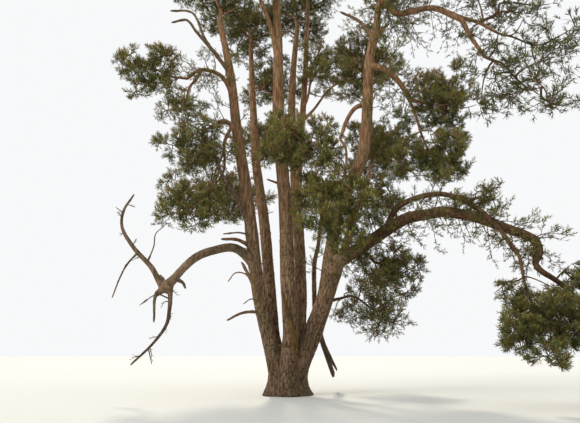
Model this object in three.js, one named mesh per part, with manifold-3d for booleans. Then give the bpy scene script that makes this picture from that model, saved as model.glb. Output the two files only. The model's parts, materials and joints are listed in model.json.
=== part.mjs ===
// A many-stemmed Scots pine: a short bole with root flare, six stems that part low down, long crooked
// boughs, dead limbs, and masses of needle foliage. Z is up, X runs to the right, Y away from the viewer.
// The origin is the flat cut at ground level, in the middle of the bole.

import * as THREE from "three";
import { mergeVertices } from "three/addons/utils/BufferGeometryUtils.js";
import Module from "manifold-3d";

const wasm = await Module();
wasm.setup();

// Driving dimensions. The places and radii below are in metres, and METRE turns them to model units.
const METRE = 1000;
const CLEARANCE = 0.45 / METRE; // gap between two pieces that touch
const FORK_HEIGHT = 1.75; // where the stems part from the bole
const FLARE_HEIGHT = 0.22; // how fast the root flare dies away
const FLARE = 0.13; // extra radius of each foot at the ground
const BOLE_SWELL = 0.1; // extra radius of each foot inside the bole
const STEM_SIDES = 8;
const BOUGH_SIDES = 6;
const SMALL_SIDES = 3;
const STEP_LENGTH = 1.3; // rings along a limb are about this far apart
const LIMB_TOLERANCE = 12; // how far the joining of pieces may move a surface of the bole
const MASS_TOLERANCE = 8; // and of a mass
const FROND_GAP = 30; // a frond that comes nearer than this to another piece is left out
const TINY_EDGE = 0.02;
const CORE_SHARE = 0.5; // size of the core in a dense mass, as a share of the mass
const SIDE_STEM = 0.06; // radius of a mass's stem where it springs from the side of a limb
const FROND_WIDTH = 0.5; // of each blade of a frond, as a share of the mean reach of its mass
const BLADE_LENGTH = 0.95; // of each blade, as a share of the same reach
const BLADES = 3; // on a frond
const BLADE_TEETH = [[0.34, 1], [0.5, 0.46], [0.74, 0.7]]; // places along a blade and across it
const STALK_SHARE = 0.055; // half the thickness of a frond's twig, as a share of the blade's width
const RIDGE_PLACE = 0.42; // where the hollows between the blades are deepest
const RIDGE_DEPTH = 0.16;
const GOLDEN_TURN = Math.PI * (3 - Math.sqrt(5));

// Colours of the bark and the needles.
const OLD_BARK = { color: 0x7a6353, roughness: 0.9, metalness: 0 };
const YOUNG_BARK = { color: 0x9c6b48, roughness: 0.8, metalness: 0 };
const DEAD_WOOD = { color: 0x7d6c5c, roughness: 0.85, metalness: 0 };
const NEEDLES = { color: 0x46553a, roughness: 0.7, metalness: 0 };

// The stems. Each runs from its foot on the ground, through the bole, to its tip:
// radius is that at the fork and at the tip, and path the places that it passes through.
const STEMS = {
  stem_left: {
    radius: [0.22, 0.1],
    path: [[-0.28, -0.12, 0], [-0.25, -0.1, 0.6], [-0.56, -0.15, 1.75], [-0.84, -0.2, 2.9],
      [-1.3, -0.4, 6.05], [-1.8, -0.6, 9.1], [-2.06, -0.7, 11], [-2.55, -0.8, 13.3]],
  },
  stem_middle: {
    radius: [0.24, 0.12],
    path: [[0.08, -0.26, 0], [0.06, -0.24, 0.6], [0.15, -0.3, 1.75], [0.05, -0.4, 3.5],
      [-0.03, -0.5, 6], [-0.26, -0.6, 8.8], [-0.32, -0.7, 12.1], [-0.42, -0.7, 15.3]],
  },
  stem_right: {
    radius: [0.22, 0.14],
    path: [[0.34, -0.06, 0], [0.36, -0.06, 0.6], [0.72, -0.1, 1.75], [1.2, -0.4, 2.9], [1.45, -0.65, 4.3],
      [1.73, -0.9, 5.8], [2.52, -1.3, 7.4], [2.76, -1.5, 9.3], [2.9, -1.65, 11], [3.2, -1.7, 12.2]],
  },
  stem_left_back: {
    radius: [0.2, 0.08],
    path: [[-0.12, 0.3, 0], [-0.1, 0.26, 0.6], [-0.4, 0.4, 1.75], [-0.55, 0.5, 3.3], [-0.83, 0.9, 5.9],
      [-1.2, 1.3, 8.4], [-1.4, 1.65, 10.9], [-1.65, 2.1, 14.6]],
  },
  stem_back: {
    radius: [0.2, 0.09],
    path: [[0.18, 0.34, 0], [0.2, 0.3, 0.6], [0.44, 0.42, 1.75], [0.49, 0.6, 4], [0.37, 1, 6.8],
      [0.2, 1.45, 11], [0.45, 2, 15.4]],
  },
  stem_right_back: {
    radius: [0.19, 0.09],
    path: [[0.42, 0.26, 0], [0.44, 0.26, 0.6], [0.96, 0.5, 1.75], [1.6, 1, 3.4], [2.4, 1.8, 5.6],
      [3.1, 2.4, 7.6]],
  },
};

// Limbs that spring from a stem or from another limb. "on" names the parent, and "from" says how:
// a height starts the limb inside the parent at that height, and "tip" carries the parent's tip on.
// "twigs" are small side limbs that are one piece with it: each starts at a share of its length.
const LIMBS = {
  stem_middle_fork: {
    on: "stem_middle", from: 11.3, radius: [0.1, 0.06], path: [[-0.56, -0.9, 12.8], [-1.1, -1.35, 14.2]],
  },
  stem_back_right: {
    on: "stem_back", from: 6.6, radius: [0.15, 0.08],
    path: [[0.6, 1, 9.9], [0.78, 1.05, 12.6], [0.92, 1.2, 16.1]],
  },
  stem_right_top: {
    on: "stem_right", from: "tip", radius: [0.12, 0.09], path: [[3.28, -1.7, 12.9], [3.65, -1.6, 14.3]],
  },
  thin_stem: {
    on: "stem_right_back", from: 1.6, radius: [0.09, 0.06],
    path: [[0.98, 0.9, 2.6], [1.01, 1.05, 4.3], [1.18, 1.25, 5.1], [1.35, 1.4, 6.4]],
  },
  arch_bough_rise: {
    on: "stem_right", from: 3.9, radius: [0.21, 0.16], bark: "old",
    path: [[2, -1, 4.2], [2.63, -1.4, 4.55], [3.59, -2.1, 5.05], [4.35, -2.55, 5.1]],
  },
  arch_bough_fall: {
    on: "arch_bough_rise", from: "tip", radius: [0.16, 0.1], bark: "old",
    path: [[5.14, -3, 4.87], [5.88, -3.4, 4.41], [6.42, -3.68, 4.02], [6.46, -3.76, 3.75],
      [6.34, -3.84, 3.5]],
  },
  arch_side_bough: {
    on: "arch_bough_rise", from: 4.8, radius: [0.09, 0.05], bark: "old",
    path: [[3.4, -2, 5.45], [4.49, -2.5, 5.7], [5.26, -2.95, 5.2], [5.56, -3.6, 4.4], [5.7, -4.15, 3.55]],
  },
  dead_bough: {
    on: "stem_left", from: 4.1, radius: [0.15, 0.11], bark: "dead",
    path: [[-1.65, -0.8, 4.46], [-2.24, -1.2, 4.3], [-2.79, -1.5, 3.97], [-3.45, -1.9, 3.05]],
  },
  dead_bough_upper: {
    on: "dead_bough", from: "tip", radius: [0.09, 0.025], bark: "dead",
    path: [[-3.9, -1.95, 3.6], [-4.48, -2, 4.2], [-4.9, -2, 4.85], [-4.9, -2, 5.35], [-4.65, -2, 5.85]],
    twigs: [
      { at: 0.3, radius: 0.022, path: [[-3.95, -1.8, 4.3], [-3.96, -1.7, 4.7], [-3.72, -1.7, 4.95]] },
      { at: 0.42, radius: 0.03, path: [[-4.6, -2.1, 3.65], [-4.75, -2.16, 3.2], [-4.86, -2.2, 2.72]] },
      { at: 0.82, radius: 0.018, path: [[-5.15, -2, 5.45]] },
    ],
  },
  dead_bough_lower: {
    on: "dead_bough", from: 3.2, radius: [0.07, 0.025], bark: "dead",
    path: [[-3.28, -2, 2.45], [-3.33, -2, 2], [-3.62, -2.1, 1.5], [-4.1, -2.3, 0.95]],
    twigs: [
      { at: 0.12, radius: 0.05, path: [[-3.66, -2.05, 2.9], [-3.68, -2.05, 2.1]] },
      { at: 0.2, radius: 0.022, path: [[-3.75, -1.8, 2.85], [-4.2, -1.8, 2.55]] },
      { at: 0.78, radius: 0.016, path: [[-3.6, -2.15, 0.95]] },
    ],
  },
  broken_limb: {
    on: "stem_left", from: 5.1, radius: [0.095, 0.05], bark: "dead",
    path: [[-1.62, -0.8, 6.1], [-1.98, -1.1, 6.6], [-2.2, -1.3, 7.05], [-2.42, -1.4, 7.6]],
  },
  dead_fork: {
    on: "stem_left", from: 11.1, radius: [0.08, 0.035], bark: "dead",
    path: [[-2.68, -1, 11.8], [-3.25, -1.35, 12.35], [-3.6, -1.55, 12.72], [-4.05, -1.7, 12.5]],
    twigs: [
      { at: 0.25, radius: 0.06, path: [[-3, -1, 12.3], [-3.6, -1, 13.55], [-4.3, -1.2, 13.45]] },
    ],
  },
  left_high_bough: {
    on: "stem_left", from: 10.2, radius: [0.08, 0.055],
    path: [[-2.4, -1, 10.8], [-3.03, -1.3, 10.8], [-3.4, -1.5, 10.35]],
  },
  left_bough: {
    on: "stem_left", from: 8.7, radius: [0.08, 0.06], path: [[-2.14, -1, 8.95], [-2.6, -1.15, 8.6]],
  },
  right_bough: {
    on: "stem_right", from: 10.7, radius: [0.11, 0.08],
    path: [[3.3, -1.8, 10.5], [3.75, -1.95, 9.9], [4.05, -2, 9.25]],
  },
  high_right_bough: {
    on: "stem_right_top", from: 13.5, radius: [0.11, 0.085],
    path: [[3.7, -1.75, 13.1], [3.95, -1.9, 12.7], [5, -2.45, 12.45], [5.68, -2.8, 11.7]],
  },
  high_right_bough_lower: {
    on: "high_right_bough", from: "tip", radius: [0.08, 0.05],
    path: [[5.9, -2.9, 11], [6.13, -3.1, 10.1]],
  },
  high_right_bough_upper: {
    on: "high_right_bough", from: 12, radius: [0.06, 0.045],
    path: [[6.3, -2.8, 11.55], [6.8, -2.8, 11.2]],
  },
  centre_bough: {
    on: "stem_right", from: 9.3, radius: [0.08, 0.06],
    path: [[2.38, -1.25, 9.3], [2.05, -1.15, 8.8], [1.88, -1.2, 8.3]],
  },
  torn_limb: {
    on: "stem_right_back", from: 1.98, radius: [0.1, 0.07], bark: "dead",
    path: [[1.22, 1, 1.65], [1.42, 1.3, 1.1], [1.62, 1.6, 0.55]],
  },
};

// Dead stubs and small side limbs that are one piece with their stem.
const STUBS = {
  stem_left: [
    { at: 0.345, radius: 0.06, path: [[-1.5, -0.75, 4.78], [-2, -1.2, 4.64]] },
    { at: 0.19, radius: 0.055, path: [[-1.33, -0.8, 2.42], [-1.75, -1.1, 2.18]] },
    { at: 0.185, radius: 0.06, path: [[-1.02, -0.6, 3.38], [-1.38, -0.8, 3.95]] },
  ],
  stem_middle: [
    { at: 0.44, radius: 0.05, path: [[-0.62, -0.62, 6.9]] },
    { at: 0.8, radius: 0.06, path: [[-0.18, -0.5, 12.9], [0.1, -0.2, 13.35], [0.42, 0.2, 13.4]] },
  ],
  stem_right: [
    { at: 0.98, radius: 0.08, path: [[3.6, -1.75, 12.35]] },
    { at: 0.97, radius: 0.07, path: [[2.6, -1.7, 12.55], [1.95, -1.85, 12.8]] },
  ],
};

// The masses of foliage: each fills an ellipsoid about "centre" with half-axes "reach", and grows from
// one stem on its limb. "from" is as for limbs, "via" bends the stem, and "twigs" is how many it bears.
const MASSES = {
  crown_left: {
    on: "stem_left", from: "tip",
    centre: [-2.7, -0.8, 14.8], reach: [1.8, 1.7, 1.6], fronds: 7,
  },
  crown_left_back: {
    on: "stem_left_back", from: "tip",
    centre: [-2, 2.9, 16], reach: [1.9, 1.9, 1.7], fronds: 6,
  },
  crown_middle: {
    on: "stem_middle", from: "tip",
    centre: [-0.6, -0.8, 17], reach: [2, 1.8, 1.7], fronds: 7,
  },
  crown_front: {
    on: "stem_middle_fork", from: "tip",
    centre: [-1.2, -1.9, 14.9], reach: [1.3, 1.2, 1.1], fronds: 6,
  },
  crown_back: { on: "stem_back", from: "tip", centre: [0.4, 3, 17], reach: [2, 2, 1.7], fronds: 7 },
  crown_back_right: {
    on: "stem_back_right", from: "tip",
    centre: [2, 0.9, 17.4], reach: [2, 1.9, 1.5], fronds: 6,
  },
  crown_right: {
    on: "stem_right_top", from: "tip",
    centre: [4.1, -1.4, 15.7], reach: [2.1, 2, 1.5], fronds: 7,
  },
  far_left: {
    on: "left_high_bough", from: "tip",
    centre: [-4.7, -1.8, 10.5], reach: [1.3, 1.1, 1], fronds: 7,
  },
  left_droop: {
    on: "left_high_bough", at: 0.7,
    centre: [-3.55, -1.5, 9.25], reach: [1, 0.9, 0.75], fronds: 6,
  },
  left_upper: {
    on: "left_bough", from: "tip",
    centre: [-2.9, -1.35, 7.7], reach: [1.35, 1.2, 0.95], fronds: 7, dense: true,
  },
  left_lower: {
    on: "left_bough", at: 0.25, via: [[-2.05, -1.1, 8.1], [-2.2, -1, 7]],
    centre: [-3.15, -1.1, 5.85], reach: [1.35, 1.1, 0.95], fronds: 7, dense: true,
  },
  left_behind: {
    on: "stem_left", from: 8.5, via: [[-2.3, 0.3, 8.9], [-2.6, 0.9, 8.5]],
    centre: [-3, 2, 7.5], reach: [1.4, 1.4, 1.4], fronds: 6,
  },
  between_upper: {
    on: "stem_left_back", from: 12,
    centre: [-0.8, 3.6, 13.4], reach: [1.5, 1.4, 1.5], fronds: 6,
  },
  between_lower: {
    on: "stem_left_back", from: 9,
    centre: [-0.9, 3.5, 10.5], reach: [1.6, 1.4, 1.4], fronds: 6,
  },
  centre_high: {
    on: "stem_back_right", from: 10.6,
    centre: [1.25, 0.1, 11.9], reach: [0.85, 0.8, 1.6], fronds: 6,
  },
  right_behind_high: {
    on: "stem_back_right", from: 10, via: [[1.9, 1.8, 11.9]],
    centre: [3.5, 3, 14], reach: [2, 1.8, 1.9], fronds: 7,
  },
  front_upper: {
    on: "stem_middle", from: 7.6, via: [[0.1, -1.4, 8.1]],
    centre: [0.45, -2.4, 7.35], reach: [1.5, 1.1, 1.05], fronds: 8, dense: true,
  },
  front_lower: {
    on: "centre_bough", from: "tip", via: [[1.9, -1.9, 7.4]],
    centre: [1.4, -2.5, 5.3], reach: [1.2, 1, 1.6], fronds: 7, dense: true,
  },
  right_middle: {
    on: "right_bough", from: "tip",
    centre: [5.1, -1.8, 9.2], reach: [1.5, 1.3, 1.2], fronds: 7,
  },
  right_lower: { on: "right_bough", at: 0.75, centre: [4.9, -1.3, 7.4], reach: [1.7, 1.3, 1], fronds: 6 },
  right_behind: {
    on: "stem_right_back", from: "tip",
    centre: [4.2, 3.5, 9.9], reach: [1.9, 1.7, 1.7], fronds: 7,
  },
  right_inner: {
    on: "stem_right", from: 4.7, via: [[2, -0.7, 5.8], [2.9, -0.6, 6.2]],
    centre: [3.2, -0.3, 6.3], reach: [1.2, 1.1, 0.95], fronds: 6,
  },
  high_right_lower: {
    on: "high_right_bough_lower", from: "tip", via: [[6.6, -3.3, 9.6]],
    centre: [7, -3.5, 8.7], reach: [2.1, 1.3, 1.4], fronds: 7,
  },
  high_right_middle: {
    on: "high_right_bough_upper", from: "tip",
    centre: [8.1, -2.9, 10.6], reach: [1.7, 1.3, 1], fronds: 6,
  },
  high_right_upper: {
    on: "high_right_bough_upper", at: 0.6, via: [[6.6, -2.6, 11.8]],
    centre: [7.4, -2.4, 12.6], reach: [1.9, 1.4, 1.1], fronds: 6,
  },
  arch_top: {
    on: "arch_side_bough", from: 5.55,
    centre: [5.5, -2.9, 5.4], reach: [1.1, 0.9, 0.6], fronds: 5,
  },
  arch_under: {
    on: "arch_bough_rise", from: 4.35,
    centre: [3.3, -0.9, 3.7], reach: [1.25, 1.1, 1], fronds: 6,
  },
  low_right: {
    on: "stem_right_back", from: 2.9, via: [[2.2, 1.3, 3.2]],
    centre: [3.2, 1.9, 2.8], reach: [1.5, 1.4, 1.3], fronds: 6,
  },
  hanging_inner: {
    on: "arch_side_bough", from: "tip",
    centre: [5.85, -4.2, 1.9], reach: [1.05, 0.95, 1.15], fronds: 7, dense: true,
  },
  hanging_outer: {
    on: "arch_bough_fall", from: "tip",
    centre: [7.5, -3.9, 2.15], reach: [1.3, 1.2, 1.35], fronds: 7, dense: true,
  },
  back_left: {
    on: "stem_left_back", from: 6.4, via: [[-1.4, 2.2, 7.2]],
    centre: [-2.3, 4.5, 7.9], reach: [1.6, 1.5, 1.3], fronds: 6,
  },
  back_middle: {
    on: "thin_stem", from: "tip", via: [[1.45, 2, 6.9]],
    centre: [1.5, 4.4, 8.3], reach: [1.6, 1.5, 1.4], fronds: 6,
  },
};

// A place in metres, as a vector in model units.
function place([x, y, z]) {
  return new THREE.Vector3(x, y, z).multiplyScalar(METRE);
}

// A closed three.js geometry as a solid.
function solidOf(geometry) {
  geometry.deleteAttribute("normal");
  geometry.deleteAttribute("uv");
  const merged = mergeVertices(geometry, 1e-3);
  return new wasm.Manifold(new wasm.Mesh({
    numProp: 3,
    vertProperties: merged.attributes.position.array,
    triVerts: new Uint32Array(merged.index.array),
  }));
}

// The largest of the separate bodies in a solid, so that scraps left by a cut are dropped.
function largestOf(solid) {
  const bodies = solid.decompose();
  return bodies.reduce((best, body) => (body.volume() > best.volume() ? body : best), bodies[0]);
}

// A solid's surface as a three.js geometry.
function surfaceOf(solid) {
  const { numProp, vertProperties, triVerts } = solid.getMesh();
  const positions = new Float32Array((vertProperties.length / numProp) * 3);
  for (let i = 0; i < positions.length / 3; i++) {
    positions.set(vertProperties.subarray(i * numProp, i * numProp + 3), i * 3);
  }
  const geometry = new THREE.BufferGeometry();
  geometry.setAttribute("position", new THREE.BufferAttribute(positions, 3));
  geometry.setIndex(new THREE.BufferAttribute(new Uint32Array(triVerts), 1));
  return geometry;
}

// A solid at the precision of a finished mesh, without the tiny edges that cuts leave behind.
function settled(solid) {
  return largestOf(solidOf(surfaceOf(solid.simplify(TINY_EDGE))));
}

// Directions across a curve at each share of its length, carried along it without a twist.
function framesAlong(curve, shares) {
  const first = curve.getTangentAt(0);
  const normal = new THREE.Vector3(0, 1, 0).cross(first);
  if (normal.length() < 0.2) normal.set(1, 0, 0);
  return shares.map((share) => {
    const tangent = curve.getTangentAt(share);
    normal.addScaledVector(tangent, -normal.dot(tangent)).normalize();
    return { tangent, normal: normal.clone(), binormal: tangent.clone().cross(normal) };
  });
}

// A limb: a cylinder bent along a smooth curve, with rings at the given shares of its length and a
// radius for each. "wider" adds to its radius and to both its ends, for a cutter that leaves a gap.
function bentLimb(curve, radiusAt, sides, shares, wider = 0) {
  const steps = shares.length - 1;
  const geometry = new THREE.CylinderGeometry(1, 1, 1, sides, steps);
  const frames = framesAlong(curve, shares);
  const position = geometry.attributes.position;
  const vertex = new THREE.Vector3();
  for (let i = 0; i < position.count; i++) {
    vertex.fromBufferAttribute(position, i);
    const ring = Math.round((vertex.y + 0.5) * steps);
    const radius = radiusAt(shares[ring]) + wider;
    const { tangent, normal, binormal } = frames[ring];
    const past = ring === steps ? wider : ring === 0 ? -wider : 0;
    const point = curve.getPointAt(shares[ring])
      .addScaledVector(tangent, past)
      .addScaledVector(normal, vertex.x * radius)
      .addScaledVector(binormal, -vertex.z * radius);
    position.setXYZ(i, point.x, point.y, point.z);
  }
  return solidOf(geometry);
}

// Even shares of a length; "lean" above 1 sets the rings closer together near the start.
function ringShares(steps, lean = 1) {
  return Array.from({ length: steps + 1 }, (_, k) => (k / steps) ** lean);
}

function smoothCurve(points) {
  return new THREE.CatmullRomCurve3(points, false, "centripetal");
}

// The share of a curve's length at which it first comes nearest to a height in metres.
function shareAtHeight(curve, height) {
  const samples = 400;
  const gapAt = (i) => Math.abs(curve.getPointAt(i / samples).z - height * METRE);
  const order = Array.from({ length: samples + 1 }, (_, i) => i);
  return order.reduce((best, i) => (gapAt(i) < gapAt(best) ? i : best), 0) / samples;
}

// Every limb once it is made, by name.
const made = new Map();

// A solid cut clear of every limb made so far, by the clearance.
function cutClear(solid) {
  const cutters = [...made.values()].map((limb) => limb.cutter).filter(Boolean);
  return settled(largestOf(cutters.reduce((left, cutter) => left.subtract(cutter), solid)));
}

// A stem's radius at a share of its length: its taper, with a swelling in the bole and a root flare.
function stemRadius(stem, curve, share) {
  const height = curve.getPointAt(share).z / METRE;
  const [atFoot, atTip] = stem.radius;
  const taper = atFoot + (atTip - atFoot) * share ** (stem.taper ?? 2.5);
  const swell = BOLE_SWELL * Math.max(0, 1 - height / FORK_HEIGHT);
  return (taper + swell + FLARE * Math.exp(-height / FLARE_HEIGHT)) * METRE;
}

// A small limb that is one piece with the limb whose curve it starts on.
function sideTwig(parentCurve, twig, wider) {
  const curve = smoothCurve([parentCurve.getPointAt(twig.at), ...twig.path.map(place)]);
  const radiusAt = (share) => twig.radius * METRE * (1 - 0.45 * share);
  return bentLimb(curve, radiusAt, SMALL_SIDES, ringShares(twig.path.length + 1), wider);
}

function withTwigs(limb, curve, twigs = [], wider = 0) {
  return twigs.reduce((whole, twig) => whole.add(sideTwig(curve, twig, wider)), limb);
}

// The bole is the feet of all the stems in one piece, between the ground and the fork,
// and each stem is the rest of its limb, cut clear of the stems before it.
function makeStems() {
  const upright = [0, 0, 1];
  const down = [0, 0, -1];
  const feet = [];
  for (const [name, stem] of Object.entries(STEMS)) {
    const curve = smoothCurve(stem.path.map(place));
    const shares = ringShares(Math.round(curve.getLength() / METRE / STEP_LENGTH) + 3, 1.5);
    const radiusAt = (share) => stemRadius(stem, curve, share);
    const tube = (wider) => bentLimb(curve, radiusAt, STEM_SIDES, shares, wider);
    const whole = tube(0);
    feet.push(whole.trimByPlane(upright, 0).trimByPlane(down, -FORK_HEIGHT * METRE));
    const above = (FORK_HEIGHT + CLEARANCE) * METRE;
    const solid = cutClear(withTwigs(whole, curve, STUBS[name]).trimByPlane(upright, above));
    const cutter = withTwigs(tube(CLEARANCE * METRE), curve, STUBS[name], CLEARANCE * METRE);
    made.set(name, { curve, radius: stem.radius, solid, cutter, bark: "old" });
  }
  const bole = largestOf(wasm.Manifold.union(feet)).simplify(LIMB_TOLERANCE);
  made.set("trunk", { solid: bole.trimByPlane(upright, 0), bark: "old" });
}

// Where a limb or a mass starts on its parent, and the way the parent runs there.
function startOn({ on, from, at }) {
  const parent = made.get(on);
  const share = from === "tip" ? 1 : at ?? shareAtHeight(parent.curve, from);
  return { start: parent.curve.getPointAt(share), along: parent.curve.getTangentAt(share) };
}

function makeLimbs() {
  for (const [name, limb] of Object.entries(LIMBS)) {
    const { start, along } = startOn(limb);
    const points = [start];
    if (limb.from === "tip") points.push(start.clone().addScaledVector(along, limb.radius[0] * METRE));
    const curve = smoothCurve([...points, ...limb.path.map(place)]);
    const steps = Math.round(curve.getLength() / METRE / STEP_LENGTH);
    const shares = ringShares(Math.max(limb.path.length + 1, steps));
    const [thick, thin] = limb.radius;
    const radiusAt = (share) => (thick + (thin - thick) * share) * METRE;
    const tube = (wider) => bentLimb(curve, radiusAt, thick > 0.12 ? STEM_SIDES : BOUGH_SIDES, shares, wider);
    const solid = cutClear(withTwigs(tube(0), curve, limb.twigs));
    const cutter = withTwigs(tube(CLEARANCE * METRE), curve, limb.twigs, CLEARANCE * METRE);
    made.set(name, { curve, radius: limb.radius, solid, cutter, bark: limb.bark ?? "young" });
  }
}

// A frond: a twig that widens into three toothed blades of needles, set at even turns about it. Each
// blade's outline is given as shares of the blade along it and across it, and the hollows between the
// blades are deepest at one place on the way.
function frond(root, tip, bladeLength, width, roll) {
  const way = tip.clone().sub(root);
  const length = way.length();
  way.normalize();
  const stalk = length - bladeLength;
  const outline = [[0, STALK_SHARE * width], [stalk, STALK_SHARE * width]]
    .concat(BLADE_TEETH.map(([along, across]) => [stalk + along * bladeLength, across * width]));
  const ridge = stalk + RIDGE_PLACE * bladeLength;
  const at = (along, out, turn) => [along, out * Math.cos(turn), out * Math.sin(turn)];
  const third = (2 * Math.PI) / BLADES;
  const corners = [[length, 0, 0]];
  const faces = [];
  for (let blade = 0; blade < BLADES; blade++) {
    corners.push(at(ridge, RIDGE_DEPTH * width, (blade + 0.5) * third));
    for (const [along, out] of outline) corners.push(at(along, out, blade * third));
  }
  const perBlade = outline.length + 1;
  const first = (blade) => 1 + (blade % BLADES) * perBlade;
  for (let blade = 0; blade < BLADES; blade++) {
    const hollow = first(blade);
    const mine = first(blade) + 1;
    const next = first(blade + 1) + 1;
    for (let k = 0; k < outline.length; k++) {
      const last = k === outline.length - 1;
      faces.push(hollow, last ? 0 : mine + k + 1, mine + k);
      faces.push(hollow, next + k, last ? 0 : next + k + 1);
    }
    faces.push(hollow, mine, next);
  }
  faces.push(first(0) + 1, first(2) + 1, first(1) + 1);
  const geometry = new THREE.BufferGeometry();
  geometry.setAttribute("position", new THREE.Float32BufferAttribute(corners.flat(), 3));
  geometry.setIndex(faces);
  const turn = new THREE.Quaternion().setFromUnitVectors(new THREE.Vector3(1, 0, 0), way);
  const twist = new THREE.Quaternion().setFromAxisAngle(way, roll);
  geometry.applyQuaternion(turn).applyQuaternion(twist).translate(root.x, root.y, root.z);
  return solidOf(geometry);
}

// A lumpy core for a dense mass.
function core(centre, reach) {
  const geometry = new THREE.OctahedronGeometry(1, 1);
  const position = geometry.attributes.position;
  for (let i = 0; i < position.count; i++) {
    const [x, y, z] = [position.getX(i), position.getY(i), position.getZ(i)];
    const lump = 1 + 0.2 * Math.sin(7 * x + 2) * Math.sin(6 * y + 1) * Math.sin(5 * z + 4);
    position.setXYZ(i, x * lump, y * lump, z * lump);
  }
  geometry.scale(reach.x * CORE_SHARE, reach.y * CORE_SHARE, reach.z * CORE_SHARE);
  geometry.translate(centre.x, centre.y, centre.z);
  return solidOf(geometry);
}

// The even rule that places the tips of a mass: directions turn by the golden angle from its highest
// to its lowest point, and the depth alternates, so that the fronds fill the space all round.
function frondTips(count, centre, reach, turn) {
  return Array.from({ length: count }, (_, k) => {
    const up = 1 - (2 * (k + 0.5)) / count;
    const out = Math.sqrt(1 - up * up);
    const angle = k * GOLDEN_TURN + turn;
    const depth = 1.04 - 0.1 * (k % 3);
    return new THREE.Vector3(out * Math.cos(angle), out * Math.sin(angle), up)
      .multiply(reach).multiplyScalar(depth).add(centre);
  });
}

// The place to branch from: the one on the mass's own wood with the shortest way to the tip, where
// wood that is far along counts as further off, so that twigs fork early as real ones do.
function branchPoint(wood, tip) {
  const cost = (node) => node.point.distanceTo(tip) + 0.3 * node.length;
  return wood.reduce((best, node) => (cost(node) < cost(best) ? node : best), wood[0]);
}

function tooNear(piece, others) {
  return others.some((other) => piece.minGap(other, FROND_GAP) < FROND_GAP);
}

// The stem of a mass: it carries on from its limb, through the middle of its space and a little past it.
function massStem(mass) {
  const centre = place(mass.centre);
  const reach = place(mass.reach);
  const { start, along } = startOn(mass);
  const thick = (mass.from === "tip" ? made.get(mass.on).radius[1] * 0.85 : SIDE_STEM) * METRE;
  const lead = mass.from === "tip" ? [start.clone().addScaledVector(along, 2 * thick)] : [];
  if (mass.from === "tip") start.addScaledVector(along, -thick);
  const beyond = centre.clone().sub(start).normalize().multiply(reach).multiplyScalar(0.35).add(centre);
  const curve = smoothCurve([start, ...lead, ...(mass.via ?? []).map(place), centre, beyond]);
  const shares = ringShares(3 + (mass.via ?? []).length);
  const whole = bentLimb(curve, (share) => thick * (1 - 0.6 * share), SMALL_SIDES, shares);
  return { centre, reach, curve, whole, solid: cutClear(whole) };
}

// A mass of foliage: its stem, and fronds that fork from it and from each other by the rule above.
// A frond that would come near another limb or mass is left out.
function growMass(mass, stem, turn, others) {
  const { centre, reach, curve } = stem;
  const size = (reach.x + reach.y + reach.z) / 3;
  const nodes = ringShares(16)
    .map((share) => ({ point: curve.getPointAt(share), length: share * curve.getLength() }));
  const wood = nodes.filter(({ point }) => point.clone().sub(centre).divide(reach).length() < 0.95);
  const pieces = [stem.whole];
  if (mass.dense) pieces.push(core(centre, reach));
  frondTips(mass.fronds, centre, reach, turn).forEach((tip, k) => {
    const root = branchPoint(wood, tip);
    const length = root.point.distanceTo(tip);
    const blade = Math.min(size * BLADE_LENGTH, length * 0.85);
    const piece = frond(root.point, tip, blade, size * FROND_WIDTH, k * 1.9 + turn);
    if (tooNear(piece, others)) return;
    pieces.push(piece);
    const fork = root.point.clone().lerp(tip, 0.3);
    wood.push({ point: fork, length: root.length + root.point.distanceTo(fork) });
  });
  return cutClear(largestOf(wasm.Manifold.union(pieces)).simplify(MASS_TOLERANCE));
}

// A finished solid as a named mesh.
function meshOf(name, solid, look) {
  const mesh = new THREE.Mesh(surfaceOf(solid), new THREE.MeshStandardMaterial(look));
  mesh.name = name;
  return mesh;
}

makeStems();
makeLimbs();

const BARKS = { old: OLD_BARK, young: YOUNG_BARK, dead: DEAD_WOOD };
const tree = new THREE.Group();
for (const [name, limb] of made) tree.add(meshOf(name, limb.solid, BARKS[limb.bark]));

const limbs = [...made.values()].map((limb) => limb.solid);
const stems = Object.values(MASSES).map(massStem);
const grown = [];
Object.entries(MASSES).forEach(([name, mass], k) => {
  const waiting = stems.slice(k + 1).map((stem) => stem.solid);
  const solid = growMass(mass, stems[k], k, [...limbs, ...grown, ...waiting]);
  grown.push(solid);
  tree.add(meshOf(name, solid, NEEDLES));
});

export default tree;
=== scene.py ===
"""The looks of a many-stemmed Scots pine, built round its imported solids: bark with relief on the bole,
stems, boughs and dead limbs, and foliage that grows on from them by the rule of the part's source."""

import json
import math
from collections import namedtuple

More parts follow.
